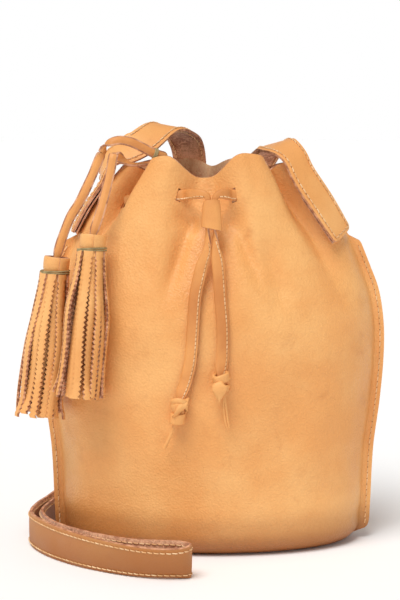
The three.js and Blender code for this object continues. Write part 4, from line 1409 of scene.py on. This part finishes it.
TASSEL_CORD_WIDTH = 7
LOOP_STATIONS = (
    ((-80.6, -34.5, 293.4), (0.75, 0.6, 0.2)),
    ((-77.4, -33, 299), (0.5, 0.6, 0.5)),
    ((-69, -31, 302.4), (0, 0.4, 0.9)),
    ((-60, -29, 301.2), (0, 0.2, 1)),
    ((-51, -27, 297), (0, 0.1, 1)),
    ((-42, -25, 292.4), (0, 0.1, 1)),
    ((-34, -19.5, 289.6), (-0.2, 0.1, 1)),
    ((-38, -12, 286.8), (0.1, 0.6, 0.8)),
    ((-46, -11, 285.6), (0.2, 0.9, 0.3)),
    ((-54, -20.5, 284.4), (0.2, 0.9, 0.1)),
    ((-61, -27, 285.4), (0.3, 0.9, 0.1)),
    ((-66.5, -30.5, 289), (0.7, 0.6, 0.2)),
    ((-69.8, -36, 292.6), (0.9, 0.2, 0.2)),
    ((-71.6, -38.6, 292.6), (1, 0, 0)),
)
LEFT_TASSEL_CORD = (
    (-82.2, -34.6, 289.6),
    (-84.6, -35, 284),
    (-88, -36, 276),
    (-96.1, -38, 259),
    (-103.5, -38.5, 246.7),
    (-109.4, -38, 232),
    (-112.2, -37.6, 222.8),
)
RIGHT_TASSEL_CORD = (
    (-72.4, -40.2, 289.4),
    (-74.2, -42, 279),
    (-77.8, -46, 264),
    (-81.6, -51, 250),
    (-84.6, -54, 240.8),
)
FRINGES = {
    "left": (np.array([-113.5, -37.6, 218.4]), np.array([-127.5, -41, 102])),
    "right": (np.array([-85.9, -55.3, 236.2]), np.array([-95.5, -67.5, 118])),
}
FRINGE_LENGTH = 118
HEAD_RADIUS = 10
FOOT_RADIUS = 16.8
HEAD_HEIGHT = 15
TIE_DROP = 11
TIE_RADIUS = 0.8


def flat_cord(name, route, materials, width=TASSEL_CORD_WIDTH, thickness=CORD_THICKNESS):
    distances = np.linspace(0, route.length, max(8, round(route.length / 1.8)))
    half = width / 2 * (1 + 0.04 * wobble(distances, 0 * distances, 11, 25))
    half = half * (1 - 0.2 * smooth(route.length - 5, route.length - 1, distances))
    return band(name, route, distances, half, thickness * 0.86, 0, materials, rounding=1.0)


def make_tassel_loop():
    route = Route(LOOP_STATIONS)
    piece = flat_cord("tassel_cord_loop", route, [CORD_GRAIN, CORD_GRAIN, RAW_EDGE])
    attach(piece, "bag")
    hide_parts("tassel_loop")
    point, width, normal, tangent = route.frames([5 / (len(LOOP_STATIONS) - 1)])
    pieces = Pieces()
    for shift in (-1.0, 0.0, 1.0):
        turns = full_turn(28)
        centres = (
            point
            + np.cos(turns)[:, None] * width * (TASSEL_CORD_WIDTH / 2 + 0.35)
            + np.sin(turns)[:, None] * normal * (CORD_THICKNESS / 2 + 0.2)
            + tangent * shift
        )
        pieces.add(*thread_loop(centres, 0.5))
    tie = pieces.build("loop_thread", [OLIVE_THREAD])
    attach(tie, "bag")
    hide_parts("loop_binding")


def thread_loop(centres, radius, sides=8):
    """A closed round thread through a ring of points."""
    along = unit(np.roll(centres, -1, axis=0) - np.roll(centres, 1, axis=0))
    middle = centres.mean(axis=0)
    out = unit(centres - middle)
    out = unit(out - along * np.sum(out * along, axis=1, keepdims=True))
    side = np.cross(along, out)
    turns = np.arange(sides) / sides * 2 * math.pi
    rings = (
        centres[:, None, :]
        + radius * np.cos(turns)[None, :, None] * out[:, None, :]
        + radius * np.sin(turns)[None, :, None] * side[:, None, :]
    )
    return rings.reshape(-1, 3), loop_faces(len(centres), sides)


def make_tassel_cord(side, points):
    """The cord from the loop down into the tassel's head."""
    top, bottom = FRINGES[side]
    loop_end = LOOP_STATIONS[0] if side == "left" else LOOP_STATIONS[-1]
    inside = top + unit(bottom - top) * 0.8
    stations = [(loop_end[0], loop_end[1])] + [(point, (1, 0, 0)) for point in points] + [(inside, (1, 0, 0))]
    route = Route(stations)
    cord = flat_cord(f"{side}_hanging_cord", route, [CORD_GRAIN, CORD_GRAIN, RAW_EDGE])
    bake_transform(cord)
    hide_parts(f"{side}_tassel_cord")
    path = route.frames(route.evenly(1.5))[0] * MM
    return cord, path, route.length


PINK_PITCH = 3.5
PINK_DEPTH = 1.45
STRIP_HALF_WIDTH = 3.35
STRIP_THICKNESS = 1.5
# Layers of strips from the outside in: how many, radius at the head, radius at the foot, first angle.
SKIRT_LAYERS = (
    (8, 9.5, FOOT_RADIUS, 8),
    (8, 7.7, FOOT_RADIUS - 2.8, 30),
    (7, 5.6, FOOT_RADIUS * 0.6, 12),
    (4, 2.8, FOOT_RADIUS * 0.3, 5),
)
TIE_WRAPS = ((-0.65, 1.2), (0.65, 0.8))         # shift along the head and slant
SEAM_ANGLES = {"left": 250, "right": 262}
HEAD_TURNS = 2.2
HEAD_LEATHER = 1.5
# The head's profile: distance below its top, and how far the leather swells there.
HEAD_PROFILE = (
    (0.2, -0.5),
    (0.9, 0),
    (3, 0.1),
    (6, 0.1),
    (9, -0.1),
    (TIE_DROP - 0.6, -0.75),
    (TIE_DROP + 0.4, -0.75),
    (TIE_DROP + 1.6, -0.2),
    (HEAD_HEIGHT + 1.0, 0.2),
)


def fringe_axes(top, bottom):
    axis = unit(bottom - top)
    side = unit(np.cross((0, 1, 0), axis))
    return axis, side, np.cross(axis, side)


def add_two_sided(pieces, upper, lower):
    """A strip between two grids of points: grain above, flesh below, raw all round."""
    rings = np.concatenate([upper, lower[:, ::-1]], axis=1)
    rows, sides = rings.shape[:2]
    across = sides // 2 - 1
    kinds = [0] * across + [2] + [1] * across + [2]
    pieces.add(rings.reshape(-1, 3), ring_faces(rows, sides), kinds * (rows - 1) + [2, 2])


def add_fringe_strip(pieces, top, axes, angle, start_radius, end_radius, length, random):
    """One cut strip of the skirt: it leaves the head, swells out and hangs, pinked on both edges."""
    axis, u, v = axes
    rows = 2 * round((length - HEAD_HEIGHT + 3) / PINK_PITCH) + 1
    down = np.linspace(HEAD_HEIGHT - 3, length, rows)
    share = (down - down[0]) / (down[-1] - down[0])
    swing = random.uniform(-4, 4)
    sway = swing * share + 2.2 * np.sin(share * 7 + random.uniform(0, 6)) * share
    turn = math.radians(angle) + np.radians(sway)
    radius = mix(start_radius, end_radius, smooth(0, 0.55, share) * 0.8 + 0.2 * share)
    ripple = np.sin(share * random.uniform(5, 9) + random.uniform(0, 6))
    radius = radius + 0.7 * ripple * smooth(0.1, 0.4, share)
    radius = radius + random.uniform(-0.6, 3.4) * smooth(0.82, 1.0, share) ** 2
    curl = random.uniform(-0.35, 0.35) * share + random.uniform(-0.12, 0.12)
    out = round_axis(turn, u, v)
    across = -np.sin(turn)[:, None] * u + np.cos(turn)[:, None] * v
    facing_out = unit(out * np.cos(curl)[:, None] + across * np.sin(curl)[:, None])
    width_way = unit(across * np.cos(curl)[:, None] - out * np.sin(curl)[:, None])
    centres = top + axis * down[:, None] + out * radius[:, None]
    teeth = np.where(np.arange(rows) % 2 == 0, 0.0, PINK_DEPTH)
    teeth = teeth * smooth(0.0, 0.06, share)
    half = STRIP_HALF_WIDTH * random.uniform(0.85, 1.1)
    shift = random.uniform(-0.3, 0.3)
    columns = np.array([-1, -0.55, 0, 0.55, 1])
    reach = np.tile(columns * half, (rows, 1))
    reach[:, 0] = -(half - teeth)
    reach[:, -1] = half - np.roll(teeth, 1) - shift
    crown = 0.5 * (1 - columns ** 2)
    flat = centres[:, None] + reach[:, :, None] * width_way[:, None]
    upper = flat + (crown + STRIP_THICKNESS / 2)[None, :, None] * facing_out[:, None]
    lower = flat + (crown - STRIP_THICKNESS / 2)[None, :, None] * facing_out[:, None]
    add_two_sided(pieces, upper, lower)


def make_fringe(side, seed):
    """The skirt's layers of strips, the wound head and the tie."""
    top, bottom = FRINGES[side]
    axes = fringe_axes(top, bottom)
    axis, u, v = axes
    random = np.random.default_rng(seed)
    pieces = Pieces()
    for count, start, end, offset in SKIRT_LAYERS:
        for i in range(count):
            angle = offset + (i + random.uniform(-0.14, 0.14)) * 360 / count
            length = FRINGE_LENGTH * random.uniform(0.965, 1.0)
            foot = end * random.uniform(0.93, 1.04)
            add_fringe_strip(pieces, top, axes, angle, start, foot, length, random)
    skirt = pieces.build(f"{side}_fringe", [TASSEL_GRAIN, FLESH, RAW_EDGE], 40)
    head = make_head(side, top, axes)
    tie = Pieces()
    for shift, tilt in TIE_WRAPS:
        turns = full_turn(48)
        wave = shift + tilt * np.cos(turns)
        centres = (
            top
            + axis * (TIE_DROP + wave)[:, None]
            + (HEAD_RADIUS + 0.35) * round_axis(turns, u, v)
        )
        tie.add(*thread_loop(centres, TIE_RADIUS * 0.72))
    tie_piece = tie.build(f"{side}_tie", [OLIVE_THREAD])
    for piece, node, slot in (
        (skirt, f"{side}_tassel_fringe", "tassel_leather"),
        (tie_piece, f"{side}_tassel_tie", "olive_thread"),
    ):
        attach(piece, f"{side}_tassel")
        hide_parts(node)
    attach(head, f"{side}_tassel")
    return [skirt, head, tie_piece]


def make_head(side, top, axes):
    """The uncut band wound round the top in a spiral, so that its end shows as an upright step."""
    axis, u, v = axes
    wound = np.linspace(0, 1, 150)
    turn = wound * HEAD_TURNS * 2 * math.pi
    turn = turn - turn[-1] + math.radians(SEAM_ANGLES[side])
    radius = mix(HEAD_RADIUS - 3.7, HEAD_RADIUS - HEAD_LEATHER / 2, wound)
    out = round_axis(turn, u, v)
    levels, pinch = np.array(HEAD_PROFILE).T
    half = HEAD_LEATHER / 2
    centres = top + out * radius[:, None]
    middle = centres[:, None] + axis * levels[None, :, None]
    upper = middle + out[:, None] * (half + pinch)[None, :, None]
    lower = middle + out[:, None] * (pinch - half)[None, :, None]
    pieces = Pieces()
    add_two_sided(pieces, upper, lower)
    return pieces.build(f"{side}_tassel_head", [TASSEL_GRAIN, FLESH, RAW_EDGE], 40)


# ---------- base and stage ----------

def finish_base():
    """The base keeps its CAD shape. Its seam thread, inside the bag, becomes a row of stitches."""
    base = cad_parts["base_panel"]
    base.data.materials.clear()
    base.data.materials.append(BODY_GRAIN)
    angles = np.linspace(0, 360, 240)
    inset = ROLL + 2
    line = base_ring(angles, inset, LEATHER)
    outward = np.tile([0.0, 0.0, 1.0], (len(line), 1))
    pieces = Pieces()
    add_stitch_row(pieces, line, outward, closed=True)
    piece = pieces.build("base_stitches", STITCH_MATERIALS)
    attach(piece, "bag")
    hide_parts("base_seam_thread")


def base_ring(angles, inset, height):
    """A ring at a constant distance inside the bottom outline."""
    a, b = SECTIONS[0, 1:]
    turn = np.radians(angles)
    normal = unit(np.stack([np.cos(turn) / a, np.sin(turn) / b], axis=1))
    x = a * np.cos(turn) - normal[:, 0] * inset
    y = b * np.sin(turn) - normal[:, 1] * inset
    return np.stack([x, y, height + 0 * x], axis=1)


FLOOR_HALF = 9000


def make_floor():
    corners = [(x * FLOOR_HALF, y * FLOOR_HALF, 0) for x, y in ((-1, -1), (1, -1), (1, 1), (-1, 1))]
    floor = make_object("floor", corners, [(0, 1, 2, 3)], [floor_paper("floor_paper")])


HORIZON_STRENGTH = 1.0
OVERHEAD_STRENGTH = 0.36
HORIZON_BAND = (0.12, 0.36)     # share of straight up at which the white wall starts and ends fading
KEY_STRENGTH = 2.3
KEY_DIRECTION = (-0.5, -1.0, 2.0)
SOFT_ANGLE = math.radians(34)


def add_sun(name, direction, strength):
    data = bpy.data.lights.new(name, "SUN")
    data.energy = strength
    data.angle = SOFT_ANGLE
    light = bpy.data.objects.new(name, data)
    light.rotation_euler = Vector(direction).to_track_quat("Z", "Y").to_euler()
    bpy.context.collection.objects.link(light)


def make_light():
    """A white wall all round, a dimmer ceiling, and one broad light from the front top."""
    world = bpy.data.worlds.new("studio")
    world.use_nodes = True
    nodes = world.node_tree.nodes
    links = world.node_tree.links
    direction = nodes.new("ShaderNodeTexCoord")
    axes = nodes.new("ShaderNodeSeparateXYZ")
    strength = nodes.new("ShaderNodeMapRange")
    strength.interpolation_type = "SMOOTHSTEP"
    for key, value in (
        ("From Min", HORIZON_BAND[0]),
        ("From Max", HORIZON_BAND[1]),
        ("To Min", HORIZON_STRENGTH),
        ("To Max", OVERHEAD_STRENGTH),
    ):
        strength.inputs[key].default_value = value
    links.new(direction.outputs["Generated"], axes.inputs[0])
    links.new(axes.outputs["Z"], strength.inputs["Value"])
    links.new(strength.outputs["Result"], nodes["Background"].inputs["Strength"])
    nodes["Background"].inputs["Color"].default_value = (1, 1, 1, 1)
    bpy.context.scene.world = world
    add_sun("key", KEY_DIRECTION, KEY_STRENGTH)


# ---------- everything, cords first ----------

make_camera()

left_cord, left_stitches, left_path, left_length = make_cord_end("left", -1, LEFT_END, 0.35)
right_cord, right_stitches, right_path, right_length = make_cord_end("right", 1, RIGHT_END, -0.3)
left_knot = make_left_knot()
right_knot = make_right_knot()
left_hanging, left_hanging_path, left_hanging_length = make_tassel_cord("left", LEFT_TASSEL_CORD)
right_hanging, right_hanging_path, right_hanging_length = make_tassel_cord("right", RIGHT_TASSEL_CORD)
left_tassel = make_fringe("left", 5)
right_tassel = make_fringe("right", 9)

for cord, path, length, pieces in (
    (left_cord, left_path, left_length, [left_stitches, left_knot]),
    (right_cord, right_path, right_length, [right_stitches, right_knot]),
):
    tuple(path[0])
    [tuple(point) for point in path]
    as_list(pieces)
for cord, path, length, pieces in (
    (left_hanging, left_hanging_path, left_hanging_length, left_tassel),
    (right_hanging, right_hanging_path, right_hanging_length, right_tassel),
):
    tuple(path[0])
    [tuple(point) for point in path]
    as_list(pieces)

make_panel("front_panel", -1)
make_panel("back_panel", 1)
make_side_stitches("left_seam_thread", -1)
make_side_stitches("right_seam_thread", 1)
finish_base()
make_strap()
make_strap_stitches()
make_strap_backings()
make_drawstring()
make_keeper()
make_tassel_loop()
make_floor()
make_light()
bpy.context.scene.view_settings.view_transform = "Standard"
